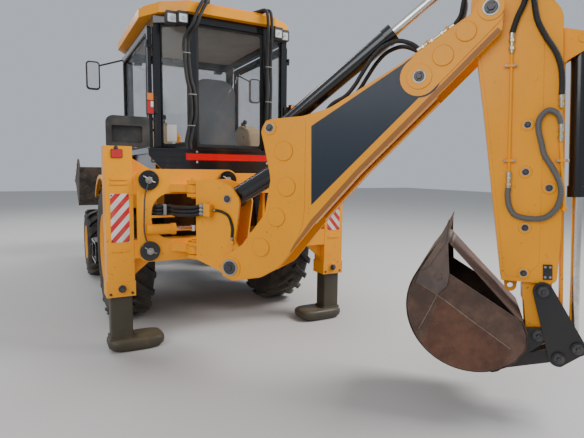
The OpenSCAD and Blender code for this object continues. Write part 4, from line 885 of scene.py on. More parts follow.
class Piece:
    """A mesh gathered from grids and plates, then made one object that rides on a body."""

    def __init__(
        self, name: str, coat: Coat, body: str, slot: str = "", bend: Bend | None = None
    ) -> None:
        """Starts an empty piece.

        Args:
            name: the object's name.
            coat: its finish.
            body: the body that it rides on.
            slot: the record's material slot; not used.
            bend: the joint that its run crosses; a piece with one is left in place on no body.
        """
        self.name, self.coat, self.body, self.slot, self.bend = name, coat, body, slot, bend
        self.points: list[Array] = []
        self.faces: list[tuple[int, ...]] = []
        self.count = 0

    def _add(self, points: Array, faces: Sequence[Sequence[int]]) -> None:
        """Appends a part.

        Args:
            points: its places.
            faces: its faces, which number those places from nought.
        """
        base = self.count
        self.points.append(points.reshape(-1, 3))
        self.count += self.points[-1].shape[0]
        self.faces += [tuple(int(i) + base for i in f) for f in faces]

    def grid(self, points: Array, closed: bool = True, caps: bool = True, loop: bool = False) -> "Piece":
        """Adds a grid of quads.

        Args:
            points: (rows, columns, 3) grid.
            closed: whether the last column joins the first.
            caps: whether the end rows get a face of their own.
            loop: whether the last row joins the first, which leaves no ends.
        Returns:
            The piece, so that calls chain.
        """
        rows, cols = points.shape[:2]
        index = np.arange(rows * cols).reshape(rows, cols)
        if loop:
            index, caps = np.vstack([index, index[:1]]), False
        nxt = np.roll(index, -1, 1) if closed else index[:, 1:]
        here = index if closed else index[:, :-1]
        quads = np.stack([here[:-1], nxt[:-1], nxt[1:], here[1:]], -1).reshape(-1, 4)
        faces = quads.tolist()
        if closed and caps:
            faces += [index[0, ::-1].tolist(), index[-1].tolist()]
        self._add(points, faces)
        return self

    def plate(self, outline: Array, low: float, high: float, axes: Axes) -> "Piece":
        """Adds a flat plate.

        Args:
            outline: (n, 2) points in the axes' first two directions.
            low, high: its faces' places along the third.
            axes: what it is placed in.
        Returns:
            The piece.
        """
        rings = [np.column_stack([outline, np.full(len(outline), h)]) for h in (low, high)]
        return self.grid(axes.place(np.stack(rings)))

    def box(
        self, low: Sequence[float], high: Sequence[float], radius: float, axes: Axes = MACHINE
    ) -> "Piece":
        """Adds a box with round upright edges.

        Args:
            low, high: two opposite corners.
            radius: of the upright edges.
            axes: what it is placed in.
        Returns:
            The piece.
        """
        (a, b, c), (d, e, f) = low, high
        return self.plate(rounded_outline([[a, b], [d, b], [d, e], [a, e]], radius, 4), c, f, axes)

    def disc(
        self, axes: Axes, radius: float, thick: float, chamfer: float = 2.0, sides: int = 28
    ) -> "Piece":
        """Adds a disc on the axes' origin that rises along their third axis.

        Args:
            axes: where it stands.
            radius, thick: its size.
            chamfer: the width of its far edge's chamfer.
            sides: points round.
        Returns:
            The piece.
        """
        c = min(chamfer, thick / 2, radius / 2)
        return self.grid(turned([[radius, 0], [radius, thick - c], [radius - c, thick]], axes, sides))

    def bolt(self, axes: Axes, size: float) -> "Piece":
        """Adds a washer and a six-sided bolt head.

        Args:
            axes: where it stands.
            size: the head's width across its corners.
        Returns:
            The piece.
        """
        self.disc(axes, size * 0.68, size * 0.12, 0.8, 20)
        return self.grid(
            turned([[size / 2, 0], [size / 2, size * 0.42], [size * 0.42, size * 0.5]], axes, 6)
        )

    def tube_ring(self, axes: Axes, inner: float, outer: float, thick: float) -> "Piece":
        """Adds a flat round ring on the axes' origin.

        Args:
            axes: where it stands.
            inner, outer: its radii.
            thick: its height.
        Returns:
            The piece.
        """
        return self.grid(
            turned([[inner, 0], [outer, 0], [outer, thick], [inner, thick]], axes, 36), loop=True
        )

    def ring(self, outer: Array, inner: Array, low: float, high: float, axes: Axes) -> "Piece":
        """Adds a frame between two outlines.

        Args:
            outer, inner: outlines with as many points each.
            low, high: its faces' places along the third axis.
            axes: what it is placed in.
        Returns:
            The piece.
        """
        rows = [
            np.column_stack([line, np.full(len(line), h)])
            for line, h in ((outer, low), (outer, high), (inner, high), (inner, low))
        ]
        return self.grid(axes.place(np.stack(rows)), loop=True)

    def tube(
        self, axes: Axes, points: Any, radius: float, count: int = 24, guard: float = 0.0,
        sides: int = 12,
    ) -> "Piece":
        """Adds a round bar or hose on a smooth line.

        Args:
            axes: the axes that the points are given in.
            points: places that it passes.
            radius: its radius.
            count: rows along it.
            guard: pitch of a spiral guard; the radius at s is r (1 + 0.06 cos(2 pi s / pitch)).
            sides: points round it.
        Returns:
            The piece.
        """
        line = smooth_line(points, count)
        run = np.concatenate([[0], np.cumsum(np.linalg.norm(np.diff(line, axis=0), axis=1))])
        swell = 1 + 0.06 * np.cos(2 * math.pi * run / guard) if guard else 1.0
        return self.grid(axes.place(tube(line, radius * swell, sides)))

    def ferrule(self, axes: Axes, radius: float) -> "Piece":
        """Adds a hose end: a six-sided nut, then a crimped sleeve along the axes' third axis.

        Args:
            axes: where it stands.
            radius: the hose's.
        Returns:
            The piece.
        """
        self.disc(axes, radius * 1.12, radius * 0.75, 1.5, 6)
        sleeve = [
            [1.02, 0.75], [1.14, 0.85], [1.14, 1.3], [1.06, 1.35], [1.06, 1.45], [1.14, 1.5],
            [1.14, 2.3], [1.02, 2.4],
        ]
        return self.grid(turned(np.array(sleeve) * radius, axes, 20))

    def make(self, bevel: float = 0.0, smooth: bool = True) -> bpy.types.Object:
        """Builds the object, gives it its finish and lets it ride.

        Args:
            bevel: width of a bevel on its sharp edges, in metres.
            smooth: whether faces shade smoothly up to 40 degrees.
        Returns:
            The object.
        """
        mesh = bpy.data.meshes.new(self.name)
        mesh.from_pydata(np.concatenate(self.points).tolist(), [], self.faces)
        mesh.update()
        bm_fix(mesh)
        obj = bpy.data.objects.new(self.name, mesh)
        bpy.context.scene.collection.objects.link(obj)
        if bevel:
            cut = obj.modifiers.new("edges", "BEVEL")
            cut.width, cut.segments = bevel, 2
            cut.limit_method, cut.angle_limit = "ANGLE", SHARP
        if smooth:
            mesh.shade_smooth()
            mesh.set_sharp_from_angle(angle=SHARP)
        mesh.materials.append(self.coat.value.material())
        if self.bend is None:
            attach(obj, self.body)
        else:
            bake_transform(obj)
        LOG.info("%s: %d faces on %s", self.name, len(self.faces), self.body)
        return obj

    @staticmethod
    def make_all(*pieces: "Piece") -> None:
        """Makes several in order.

        Args:
            pieces: the pieces.
        """
        for piece in pieces:
            piece.make()


def bm_fix(mesh: bpy.types.Mesh) -> None:
    """Turns every face outwards.

    Args:
        mesh: the mesh that is changed.
    """
    bm = bmesh.new()
    bm.from_mesh(mesh)
    bmesh.ops.recalc_face_normals(bm, faces=bm.faces)
    bm.to_mesh(mesh)
    bm.free()


def read_points(mesh: bpy.types.Mesh) -> Array:
    """A mesh's points.

    Args:
        mesh: the mesh that is read.
    Returns:
        (n, 3) places.
    """
    flat = np.empty(len(mesh.vertices) * 3)
    mesh.vertices.foreach_get("co", flat)
    return flat.reshape(-1, 3)


def apply_modifiers(obj: bpy.types.Object) -> None:
    """Turns an object's modifiers into its mesh.

    Args:
        obj: the object, which keeps none of them.
    """
    graph = bpy.context.evaluated_depsgraph_get()
    mesh = bpy.data.meshes.new_from_object(obj.evaluated_get(graph))
    obj.modifiers.clear()
    obj.data = mesh


def dress(coat: Coat, *nodes: str) -> None:
    """Gives CAD nodes a finish on all of their material slots.

    Args:
        coat: the finish.
        nodes: the nodes' names.
    """
    for name in nodes:
        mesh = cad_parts[name].data
        material = coat.value.material()
        if not mesh.materials:
            mesh.materials.append(material)
        for i in range(len(mesh.materials)):
            mesh.materials[i] = material
        LOG.info("%s wears %s", name, material.name)


# Camera, floor and light


@dataclass
class Studio:
    """The photograph's camera, a pale floor and soft lamps."""

    place: tuple[float, float, float] = (-1.762, -5.502, 1.567)
    yaw: float = 28.07
    pitch: float = -5.97
    roll: float = 0.65
    lens: float = 28.63
    floor_size: float = 60.0
    lamps: list[tuple[tuple[float, float, float], float, float]] = field(
        default_factory=lambda: [
            ((7.0, -5.5, 9.0), 5.0, 1500.0), ((-8.0, -7.0, 6.5), 7.0, 520.0),
            ((-3.0, 8.0, 9.0), 7.0, 600.0),
        ]
    )

    def camera(self) -> None:
        """Places the camera and turns it by yaw, pitch and roll.

        Forward is (sin yaw cos pitch, cos yaw cos pitch, sin pitch), and the roll turns about it.
        """
        yaw, pitch, roll = (math.radians(v) for v in (self.yaw, self.pitch, self.roll))
        fwd = np.array(
            [math.sin(yaw) * math.cos(pitch), math.cos(yaw) * math.cos(pitch), math.sin(pitch)]
        )
        right = np.array([math.cos(yaw), -math.sin(yaw), 0.0])
        up = np.cross(right, fwd)
        r = right * math.cos(roll) + up * math.sin(roll)
        u = up * math.cos(roll) - right * math.sin(roll)
        data = bpy.data.cameras.new("camera")
        data.sensor_width, data.lens = 36.0, self.lens
        data.clip_start, data.clip_end = 0.05, 200
        cam = bpy.data.objects.new("camera", data)
        cam.matrix_world = Matrix(
            np.vstack([np.column_stack([r, u, -fwd, self.place]), [0, 0, 0, 1]]).tolist()
        )
        bpy.context.scene.collection.objects.link(cam)
        bpy.context.scene.camera = cam

    def floor(self) -> None:
        """A flat square grid under the wheels."""
        s = self.floor_size / 2
        mesh = bpy.data.meshes.new("floor")
        mesh.from_pydata([(-s, -s, 0), (s, -s, 0), (s, s, 0), (-s, s, 0)], [], [(0, 1, 2, 3)])
        floor = bpy.data.objects.new("floor", mesh)
        bpy.context.scene.collection.objects.link(floor)
        graph = Graph("pale_floor")
        graph.set(
            Base_Color=graph.mix(graph.noise(0.8, 3) * 0.3, (0.5, 0.49, 0.47), (0.44, 0.43, 0.41)),
            Roughness=0.85,
        )
        mesh.materials.append(graph.material)

    def light(self) -> None:
        """A pale sky all round and large square lamps that look at the machine."""
        world = bpy.data.worlds.new("sky")
        bpy.context.scene.world = world
        world.use_nodes = True
        back = world.node_tree.nodes["Background"]
        back.inputs[0].default_value = (0.80, 0.86, 0.95, 1)
        back.inputs[1].default_value = 0.62
        for i, (place, size, power) in enumerate(self.lamps):
            data = bpy.data.lights.new(f"lamp_{i}", "AREA")
            data.size, data.energy = size, power
            lamp = bpy.data.objects.new(f"lamp_{i}", data)
            look = (Vector((0, 0, 1.2)) - Vector(place)).to_track_quat("-Z", "Y")
            lamp.matrix_world = Matrix.Translation(place) @ look.to_matrix().to_4x4()
            bpy.context.scene.collection.objects.link(lamp)

    def build(self) -> None:
        """Makes all of it."""
        self.camera()
        self.floor()
        self.light()


# Sub-assemblies


@dataclass
class Wheels:
    """Four tyres and rims with their nuts, hub caps and valves."""

    rings: dict[str, tuple[int, float, float]] = field(
        default_factory=lambda: {"rear": (8, 205.0, 150.0), "front": (6, 138.0, 88.0)}
    )
    face: float = 12.0

    def build(self) -> None:
        """Nuts on each rim's studs, a plain hub cap with a six-sided boss, and a valve stem."""
        for end, (nuts, ring, hub) in self.rings.items():
            for side, sign in (("left", -1), ("right", 1)):
                body = f"wheel_{end}_{side}"
                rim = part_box(f"rim_{end}_{side}")
                x, y, z = ((Vector(rim[0]) + Vector(rim[1])) / 2)
                hub_axes = Axes((x, y, z), (0, 1, 0), (0, 0, 1), (sign, 0, 0))
                a = np.linspace(0, 2 * math.pi, nuts, endpoint=False)
                spots = np.column_stack([ring * np.sin(a), ring * np.cos(a), np.full(nuts, self.face)])
                bolts = Piece(f"nuts_{end}_{side}", Coat.STEEL, body, "grey_steel")
                for spot in spots:
                    stud = hub_axes.at(*spot)
                    bolts.disc(stud, 27, 4, 1).disc(stud.at(0, 0, 4), 24, 16, 3, 6)
                bolts.disc(hub_axes.at(0, 0, 63), hub * 0.52, 6, 2, 40)
                bolts.disc(hub_axes.at(0, 0, 69), hub * 0.2, 10, 3, 6)
                stem = [
                    (0, -1.4 * ring, self.face - 4), (0, -1.42 * ring, self.face + 22),
                    (0, -1.45 * ring, self.face + 44),
                ]
                bolts.tube(hub_axes, stem, 5, 8, sides=8)
                bolts.make()

    def dress(self) -> None:
        """Rubber on the tyres, enamel on the rims."""
        for end in ("front", "rear"):
            for side in ("left", "right"):
                dress(Coat.TYRE, f"tyre_{end}_{side}")
                dress(Coat.YELLOW, f"rim_{end}_{side}")


@dataclass
class Chassis:
    """Rails, axles, towers, tanks, hood and the frame that holds the stabilisers."""

    leg_x: float = 1062.0
    leg_back: float = -1152.0
    stripes: tuple[float, float, float, float] = (987.0, 1134.0, 950.0, 1358.0)
    collar_z: float = 553.0
    hood_half: float = 355.0
    nose_y: float = 2660.0

    def build(self) -> None:
        """Panels, reflectors and bolts on the leg boxes, then the hood's trim and the tanks' caps."""
        self.leg_fittings()
        self.stabilisers()
        self.hood_trim()
        self.tank_trim()

    def leg_fittings(self) -> None:
        """Striped plates, red reflectors, plugs and collar bolts on the rear faces of both leg boxes."""
        x0, x1, z0, z1 = self.stripes
        plates = Piece("warning_plates", Coat.STRIPES, "machine", "plastic")
        reflectors = Piece("reflectors", Coat.REDLENS, "machine", "lens")
        bezels = Piece("reflector_bezels", Coat.PLASTIC, "machine", "plastic")
        bolts = Piece("leg_bolts", Coat.BOLT, "machine", "grey_steel")
        collars = Piece("leg_collar_bosses", Coat.YELLOW, "machine", "yellow_paint")
        back = -self.leg_back
        for s in (-1, 1):
            plates.plate(rounded_box(s * x0, s * x1, z0, z1, 4), back + 0.3, back + 2.3, REAR)
            reflectors.plate(rounded_box(s * 1032, s * 1116, 1657, 1722, 7), back + 2, back + 9, REAR)
            bezels.plate(rounded_box(s * 1028, s * 1120, 1653, 1726, 9), back + 0.3, back + 4, REAR)
            bolts.bolt(REAR.at(s * 1078, 1737, back), 24)
            for x in (s * 1000, s * 1124):
                bolts.bolt(REAR.at(x, z1 - 14, back + 2.3), 10).bolt(REAR.at(x, z0 + 14, back + 2.3), 10)
            collar = REAR.at(s * (self.leg_x - 4), self.collar_z, back + 2)
            collars.disc(collar, 44, 9)
            bolts.disc(collar.at(0, 0, 9), 33, 7, 3).bolt(collar.at(0, 0, 16), 40)
            for x in (s * 975, s * 1150):
                bolts.bolt(REAR.at(x, 510, back + 2), 18)
        Piece.make_all(plates, reflectors, bezels, bolts, collars)

    def stabilisers(self) -> None:
        """Legs with rounded feet, in place of the CAD's.

        Each foot's outline is a superellipse: x = a |cos t|^0.5, y = b |sin t|^0.5.
        """
        t = np.linspace(0, 2 * math.pi, 64, endpoint=False)
        c, s = np.cos(t), np.sin(t)
        round_x, round_y = np.sign(c) * np.abs(c) ** 0.5, np.sign(s) * np.abs(s) ** 0.5
        levels = (
            (0, 176, 112), (10, 204, 132), (34, 232, 147), (62, 240, 150), (88, 236, 147),
            (104, 220, 136), (110, 196, 118),
        )
        for name, sign in (("left", -1), ("right", 1)):
            leg = Piece(f"stabiliser_{name}", Coat.GREY, f"leg_{name}", "grey_steel")
            rows = [
                np.column_stack(
                    [sign * (self.leg_x - 120) + a * round_x, b * round_y - 1054, np.full(64, z)]
                )
                for z, a, b in levels
            ]
            leg.grid(MACHINE.place(np.stack(rows)))
            x = sign * self.leg_x
            leg.box((x - 90, -1132, 60), (x + 90, -976, 1296), 14)
            leg.box((x - 104, -1146, 104), (x + 104, -962, 122), 20)
            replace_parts(leg.make(), f"leg_{name}")

    def hood_trim(self) -> None:
        """Side vents, latches, a mesh behind the grille, and the headlamps in the front corners."""
        vents = Piece("hood_vents", Coat.BLACK, "hood", "black_paint")
        slats = Piece("hood_slats", Coat.DARK, "hood", "black_paint")
        lens = Piece("headlamp_lenses", Coat.CLEAR, "hood", "lens")
        bezel = Piece("headlamp_bezels", Coat.PLASTIC, "hood", "plastic")
        steel = Piece("hood_latches", Coat.STEEL, "hood", "grey_steel")
        for s in (-1, 1):
            face = SIDE.flipped(s)
            for y in (1240, 1620, 2000):
                vents.plate(
                    rounded_box(y, y + 300, 1290, 1440, 18), self.hood_half,
                    self.hood_half + 2.5, face,
                )
                for k in range(7):
                    z = 1302 + 19 * k
                    slats.plate(
                        rounded_box(y + 14, y + 286, z, z + 9, 4), self.hood_half + 2.5,
                        self.hood_half + 7, face,
                    )
            steel.box((min(s * 352, s * 366), 2440, 1118), (max(s * 352, s * 366), 2520, 1150), 4)
            steel.disc(face.at(2480, 1134, self.hood_half + 10), 12, 8)
            bezel.plate(
                rounded_box(s * 246, s * 344, 1180, 1278, 20), self.nose_y,
                self.nose_y + 10, AHEAD,
            )
            lens.disc(AHEAD.at(s * 295, 1229, self.nose_y + 10), 40, 7, 5)
        grille = Piece("grille_mesh", Coat.BLACK, "hood", "black_paint")
        for x in np.arange(-225, 226, 15.0):
            grille.plate(box_corners(x, x + 3, 1080, 1396), self.nose_y - 15, self.nose_y - 12, AHEAD)
        Piece.make_all(vents, slats, lens, bezel, steel, grille)

    def tank_trim(self) -> None:
        """Filler cap with its neck and chequered treads on the steps."""
        caps = Piece("filler_caps", Coat.PLASTIC, "machine", "plastic")
        treads = Piece("step_treads", Coat.STEEL, "machine", "grey_steel")
        for s in (-1, 1):
            up = MACHINE.at(s * 800, 1180, 899)
            caps.disc(up, 40, 10).disc(up.at(0, 0, 10), 48, 26, 5, 16)
            for z in (430, 670):
                for k in range(9):
                    y = 850 + 46 * k
                    treads.box(
                        (min(s * 966, s * 1076), y, z), (max(s * 966, s * 1076), y + 14, z + 4), 3
                    )
        Piece.make_all(caps, treads)

    def dress(self) -> None:
        """Dark enamel below, yellow on the frame that carries the legs."""
        dress(
            Coat.DARK, "chassis", "rear_axle", "front_axle", "driveline", "knuckle_left", "knuckle_right"
        )
        dress(Coat.BLACK, "tanks", "nose")
        dress(Coat.YELLOW, "rear_frame", "loader_towers", "hood", "fenders")
        dress(Coat.GREY, "leg_left", "leg_right")


@dataclass
class Excavator:
    """Carriage, kingpost, boom, dipper and bucket with their cylinders."""

    clamp_x: float = 350.0
    clamp_z: tuple[float, float] = (867.0, 1472.0)
    boom_half: float = 170.0
    boom_bosses: tuple[tuple[float, float], ...] = ((957, 337), (792, 133), (573, 26), (316, -57))
    dipper_pin: tuple[float, float] = (2242.8, 2569.2)
    dipper_lean: float = -87.0
    dipper_half: float = 103.0
    dipper_bosses: tuple[tuple[float, float], ...] = (
        (716, 209), (1007, 199), (1358, 197), (1649, 190), (1111, 330)
    )
    bucket_pin: tuple[float, float] = (2628.9, 532.7)
    bucket_half: float = 300.0
    bucket_back: tuple[float, float] = (2223.9, 712.7)
    bucket_radius: float = 405.0
    bucket_wall: float = 12.0
    tooth_pitch: float = 530 / 3
    tooth_half: float = 28.0
    lever_pins: tuple[tuple[float, float], ...] = ((2633.4, 829.3), (2744.3, 413.5), (2843.4, 489.8))
    ear_pin: tuple[float, float] = (2367.9, 291.7)

    def on_dipper(self, along: float, above: float) -> Array:
        """A point by the dipper's slide.

        Args:
            along, above: its place from the dipper's pin.
        Returns:
            The point in the arm's plane.
        """
        return turned_point(self.dipper_pin, self.dipper_lean, along, above)

    def build(self) -> None:
        """Makes the clamps, the boom's panel and pins, the dipper's bolts and the bucket's plates."""
        self.clamps()
        self.boom_panel()
        self.pins()
        self.dipper_plates()
        self.bucket_plates()

    def clamps(self) -> None:
        """Black discs on the four clamps, each with a ring, a steel union and two short lines."""
        steel = Piece("clamp_fittings", Coat.STEEL, "carriage", "grey_steel")
        black = Piece("clamp_faces", Coat.BLACK, "carriage", "black_paint")
        for x in (-self.clamp_x, self.clamp_x):
            for z in self.clamp_z:
                on = REAR.at(SLEW_AXIS[0] + x, z, 1186.3)
                black.disc(on, 84, 24, 4, 48).tube_ring(on.at(0, 0, 24), 44, 56, 5)
                steel.disc(on.at(0, 0, 28), 31, 6, 2, 8)
                steel.disc(on.at(0, 0, 34), 22, 11, 3, 6).disc(on.at(0, 0, 45), 9, 6, 2, 16)
                for a, b in ((-44, 34), (50, -20)):
                    steel.tube(on, [(0.3 * a, 0.3 * b, 36), (0.75 * a, 0.8 * b, 35), (a, b, 27)], 6, 10)
        Piece.make_all(steel, black)

    def boom_panel(self) -> None:
        """The boom's bare dark panels, its doublers with their bosses, and brown strips of painted shade
        along its lower edges, which stand for the underside that is in shade from below.
        """
        a = np.radians(np.linspace(135, -90, 26))
        end = np.column_stack([1833 + 138 * np.cos(a), 2183 + 134 * np.sin(a)])
        outline = np.vstack([[[1093, 1885]], end, [[1102, 1318]]])
        panel = Piece("boom_panels", Coat.PANEL, "boom", "black_paint")
        for side in SWING.both():
            panel.plate(outline, self.boom_half + 0.2, self.boom_half + 1.6, side)
        doubler = Piece("boom_doublers", Coat.YELLOW_ARM, "boom", "yellow_paint")
        # Painted shade: brown strips along the boom's lower edges stand for its underside, which is in
        # shade when seen from below; the enamel adds dust and chips.
        underside_shade = Piece("boom_underside_shade_strips", Coat.GRIMY_SHADE, "boom", "yellow_paint")
        foot = [
            (-97, 0), (-56, -84), (150, -218), (320, -261), (430, -250), (600, -200), (700, -150),
            (793, -72), (1010, 150), (1234, 378), (1225, 404), (1010, 603), (930, 562), (862, 449),
            (741, 264), (517, 106), (208, 64), (0, 98),
        ]
        strip = [
            (470, -246), (760, -208), (1250, -173), (2480, -151), (2480, -118), (1250, -140),
            (760, -174), (500, -226),
        ]
        for side in SWING.both():
            doubler.plate(
                rounded_outline([boom_point(*p) for p in foot], 20, 5), self.boom_half,
                self.boom_half + 2.4, side,
            )
            # Each strip is painted shade of the boom's underside, laid on the side plate along its lower
            # edge.
            underside_shade.plate(
                np.array([boom_point(*p) for p in strip]), self.boom_half, self.boom_half + 1.2, side
            )
            for p in self.boom_bosses:
                doubler.disc(side.at(*boom_point(*p), self.boom_half), 72, 12, 4, 48)
            for p, radius, thick in (((2157, -1), 66, 14), ((2346, 3), 62, 14)):
                doubler.disc(side.at(*boom_point(*p), self.boom_half), radius, thick, 4, 48)
        Piece.make_all(panel, doubler, underside_shade)

    def pins(self) -> None:
        """Caps, washers and dark bolt heads on the boom's pins and bosses."""
        groups = [
            (
                "boom",
                [
                    (*boom_point(0, 0), 185, 66, 46), (*boom_point(997, 539), 179, 36, 34),
                    (*boom_point(1970, 11), 181, 42, 36), (*boom_point(2533, 0), 181, 50, 42),
                ],
            ),
            ("kingpost", [(378, 1336, 125, 34, 36)]),
            (
                "dipper_outer",
                [(*self.on_dipper(-400, -10), 124, 34, 34)] + [
                    (*self.on_dipper(*p), 108, 24, 26) for p in self.dipper_bosses
                ],
            ),
            ("tip_lever", [(*p, 140, 40, 24) for p in self.lever_pins]),
            ("bucket_link", [(*self.ear_pin, 69, 30, 22)]),
            ("digging_bucket", [(*self.bucket_pin, 99, 46, 26), (*self.ear_pin, 99, 30, 22)]),
        ]
        for body, spots in groups:
            black = body in ("tip_lever", "bucket_link", "digging_bucket")
            dark = Piece(f"pin_bolts_{body}", Coat.BOLT, body, "black_paint")
            ring = Piece(
                f"pin_rings_{body}", Coat.LEVER if black else Coat.STEEL, body,
                "black_paint" if black else "grey_steel",
            )
            for r, z, off, size, head in spots:
                for s in (-1, 1):
                    at = SWING.at(r, z, s * off).flipped(s)
                    ring.disc(at, size, 3, 1)
                    dark.disc(at.at(0, 0, 3), size * 0.8, 5, 2)
                    dark.disc(at.at(0, 0, 8), head * 0.55, 9, 3, 6)
                    if size > 36:
                        for k in range(2):
                            a = math.radians(60 + 180 * k)
                            dark.bolt(at.at(size * 0.62 * math.cos(a), size * 0.62 * math.sin(a), 8), 10)
            Piece.make_all(dark, ring)

    def dipper_plates(self) -> None:
        """The outer dipper's side plates and bosses, its pipe clips, and the blocks at its mouth."""
        clips = Piece("pipe_clips", Coat.YELLOW_ARM, "dipper_outer", "yellow_paint")
        bolts = Piece("clip_bolts", Coat.STEEL, "dipper_outer", "grey_steel")
        blocks = Piece("slide_blocks", Coat.PLASTIC, "dipper_outer", "plastic")
        h = self.dipper_half
        plates = Piece("dipper_doublers", Coat.YELLOW_ARM, "dipper_outer", "yellow_paint")
        raised = [
            (60, -70), (228, -64), (605, -22), (1630, 74), (1672, 90), (1672, 200), (1590, 278),
            (900, 292), (100, 300),
        ]
        for side in SWING.both():
            plates.plate(rounded_outline([self.on_dipper(*p) for p in raised], 22, 5), h, h + 3, side)
            for p in self.dipper_bosses:
                plates.disc(side.at(*self.on_dipper(*p), h), 38, 7, 2, 40)
        plates.make()
        for r, z in ((2374, 2226), (2397, 1644), (2691, 1645)):
            clips.plate(rounded_box(r - 36, r + 36, z - 9, z + 9, 6), h, h + 25, SWING)
            for d in (-26, 26):
                bolts.bolt(SWING.at(r + d, z, h + 25), 13)
        outline = np.array([self.on_dipper(*p) for p in box_corners(1590, 1686, 300, 352)])
        for side in SWING.both():
            blocks.plate(outline, h, h + 8, side)
            for p in ((1606, 312), (1670, 312), (1606, 340), (1670, 340)):
                bolts.bolt(side.at(*self.on_dipper(*p), h + 8), 12)
        Piece.make_all(clips, bolts, blocks)

    def bucket_plates(self) -> None:
        """The bucket: a rolled sheet between two cheeks, with its ears, cutters, welds and teeth.

        The sheet's outer line is an arc about the bucket's back, and its mouth breaks near the lip.
        """
        h, wall = self.bucket_half, self.bucket_wall
        a = np.radians(np.linspace(145, 310, 56))
        unit = np.column_stack([np.cos(a), np.sin(a)])
        back = np.array(self.bucket_back)
        outer = np.vstack(
            [
                [[2031, 1166], [1942, 1036]], back + self.bucket_radius * unit,
                [[2545, 490], [2550, 583], [2516, 668]],
            ]
        )
        inner = np.vstack(
            [
                [[2040, 1158], [1955, 1031]], back + (self.bucket_radius - wall) * unit,
                [[2532, 494], [2537, 580], [2508, 660]],
            ]
        )
        sheet = Piece("bucket_sheet", Coat.RUST, "digging_bucket", "rust")
        rows = [
            np.column_stack([line, np.full(len(line), off)])
            for line, off in ((outer, -h), (outer, h), (inner, h), (inner, -h))
        ]
        sheet.grid(SWING.place(np.stack(rows)), loop=True, closed=True)
        cheek = np.vstack([outer, [[2079, 930]], [[2066, 1060]]])
        ears = Piece("bucket_ears", Coat.LEVER, "digging_bucket", "black_paint")
        cutters = Piece("side_cutters", Coat.RUST_GREY, "digging_bucket", "rust")
        welds = Piece("bucket_welds", Coat.WORN, "digging_bucket", "rust")
        lower = Piece("bucket_lower_plates", Coat.RUST_RED, "digging_bucket", "rust")
        teeth = Piece("bucket_teeth", Coat.WORN, "digging_bucket", "rust")
        ear = np.array(
            [
                (56, 0), (48, 30), (20, 54), (-26, 52), (-80, 40), (-120, -60), (-225, -210),
                (-300, -262), (-292, -280), (-262, -290), (-225, -277), (28, -50),
            ]
        )
        for side in SWING.both():
            sheet.plate(cheek, h - wall, h, side)
            ears.plate(rounded_outline(ear + self.bucket_pin, 10, 4), 79, 99, side)
            cutters.plate(
                np.array(
                    [
                        (2064, 1276), (2026, 1163), (1905, 939), (1880, 860), (2013, 787), (2070, 850),
                        (2081, 925), (2067, 1100),
                    ]
                ),
                h, h + 10, side,
            )
            cutters.plate(
                np.array([(2064, 1276), (2030, 1163), (1909, 939), (1960, 975), (2052, 1130)]), h + 10,
                h + 18, side,
            )
            cutters.disc(side.at(2018, 905, h + 10), 20, 7, 3, 24)
            low = np.array([(2016, 780), (2229, 640), (2448, 496), (2470, 462)])
            edge = back + (self.bucket_radius - 9) * unit[26:52]
            lower.plate(np.vstack([low, edge[::-1]]), h, h + 2.5, side)
            for line in (
                [
                    (1880, 852), (1950, 818), (2016, 782), (2120, 714), (2229, 640), (2340, 568),
                    (2456, 493),
                ],
                [(2013, 784), (1960, 660), (1907, 544)],
            ):
                path = np.column_stack([np.array(line, float), np.full(len(line), h + 2)])
                welds.tube(side, path, 4.5, 40)
        for i in range(4):
            off = (i - 1.5) * self.tooth_pitch
            teeth.plate(
                np.array([(1989, 1108), (2017, 1093), (2052, 1160), (2074, 1288)]),
                off - self.tooth_half, off + self.tooth_half, SWING,
            )
        teeth.plate(np.array([(1936, 1034), (2030, 1170), (2040, 1160), (1950, 1026)]), -h, h, SWING)
        for piece in (sheet, cutters, welds, lower, ears, teeth):
            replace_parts(piece.make(), "digging_bucket")

    def dress(self) -> None:
        """Yellow structure, black barrels, chromed rods and a rusty bucket."""
        dress(Coat.YELLOW_ARM, "carriage", "kingpost", "boom", "dipper_outer", "dipper_inner")
        dress(Coat.BLACK, "boom_barrel", "dipper_barrel", "bucket_barrel")
        dress(Coat.LEVER, "tip_lever", "bucket_link")
        dress(Coat.CHROME, "boom_rod", "dipper_rod", "bucket_rod", "slew_rods")
        dress(Coat.RUST, "digging_bucket")


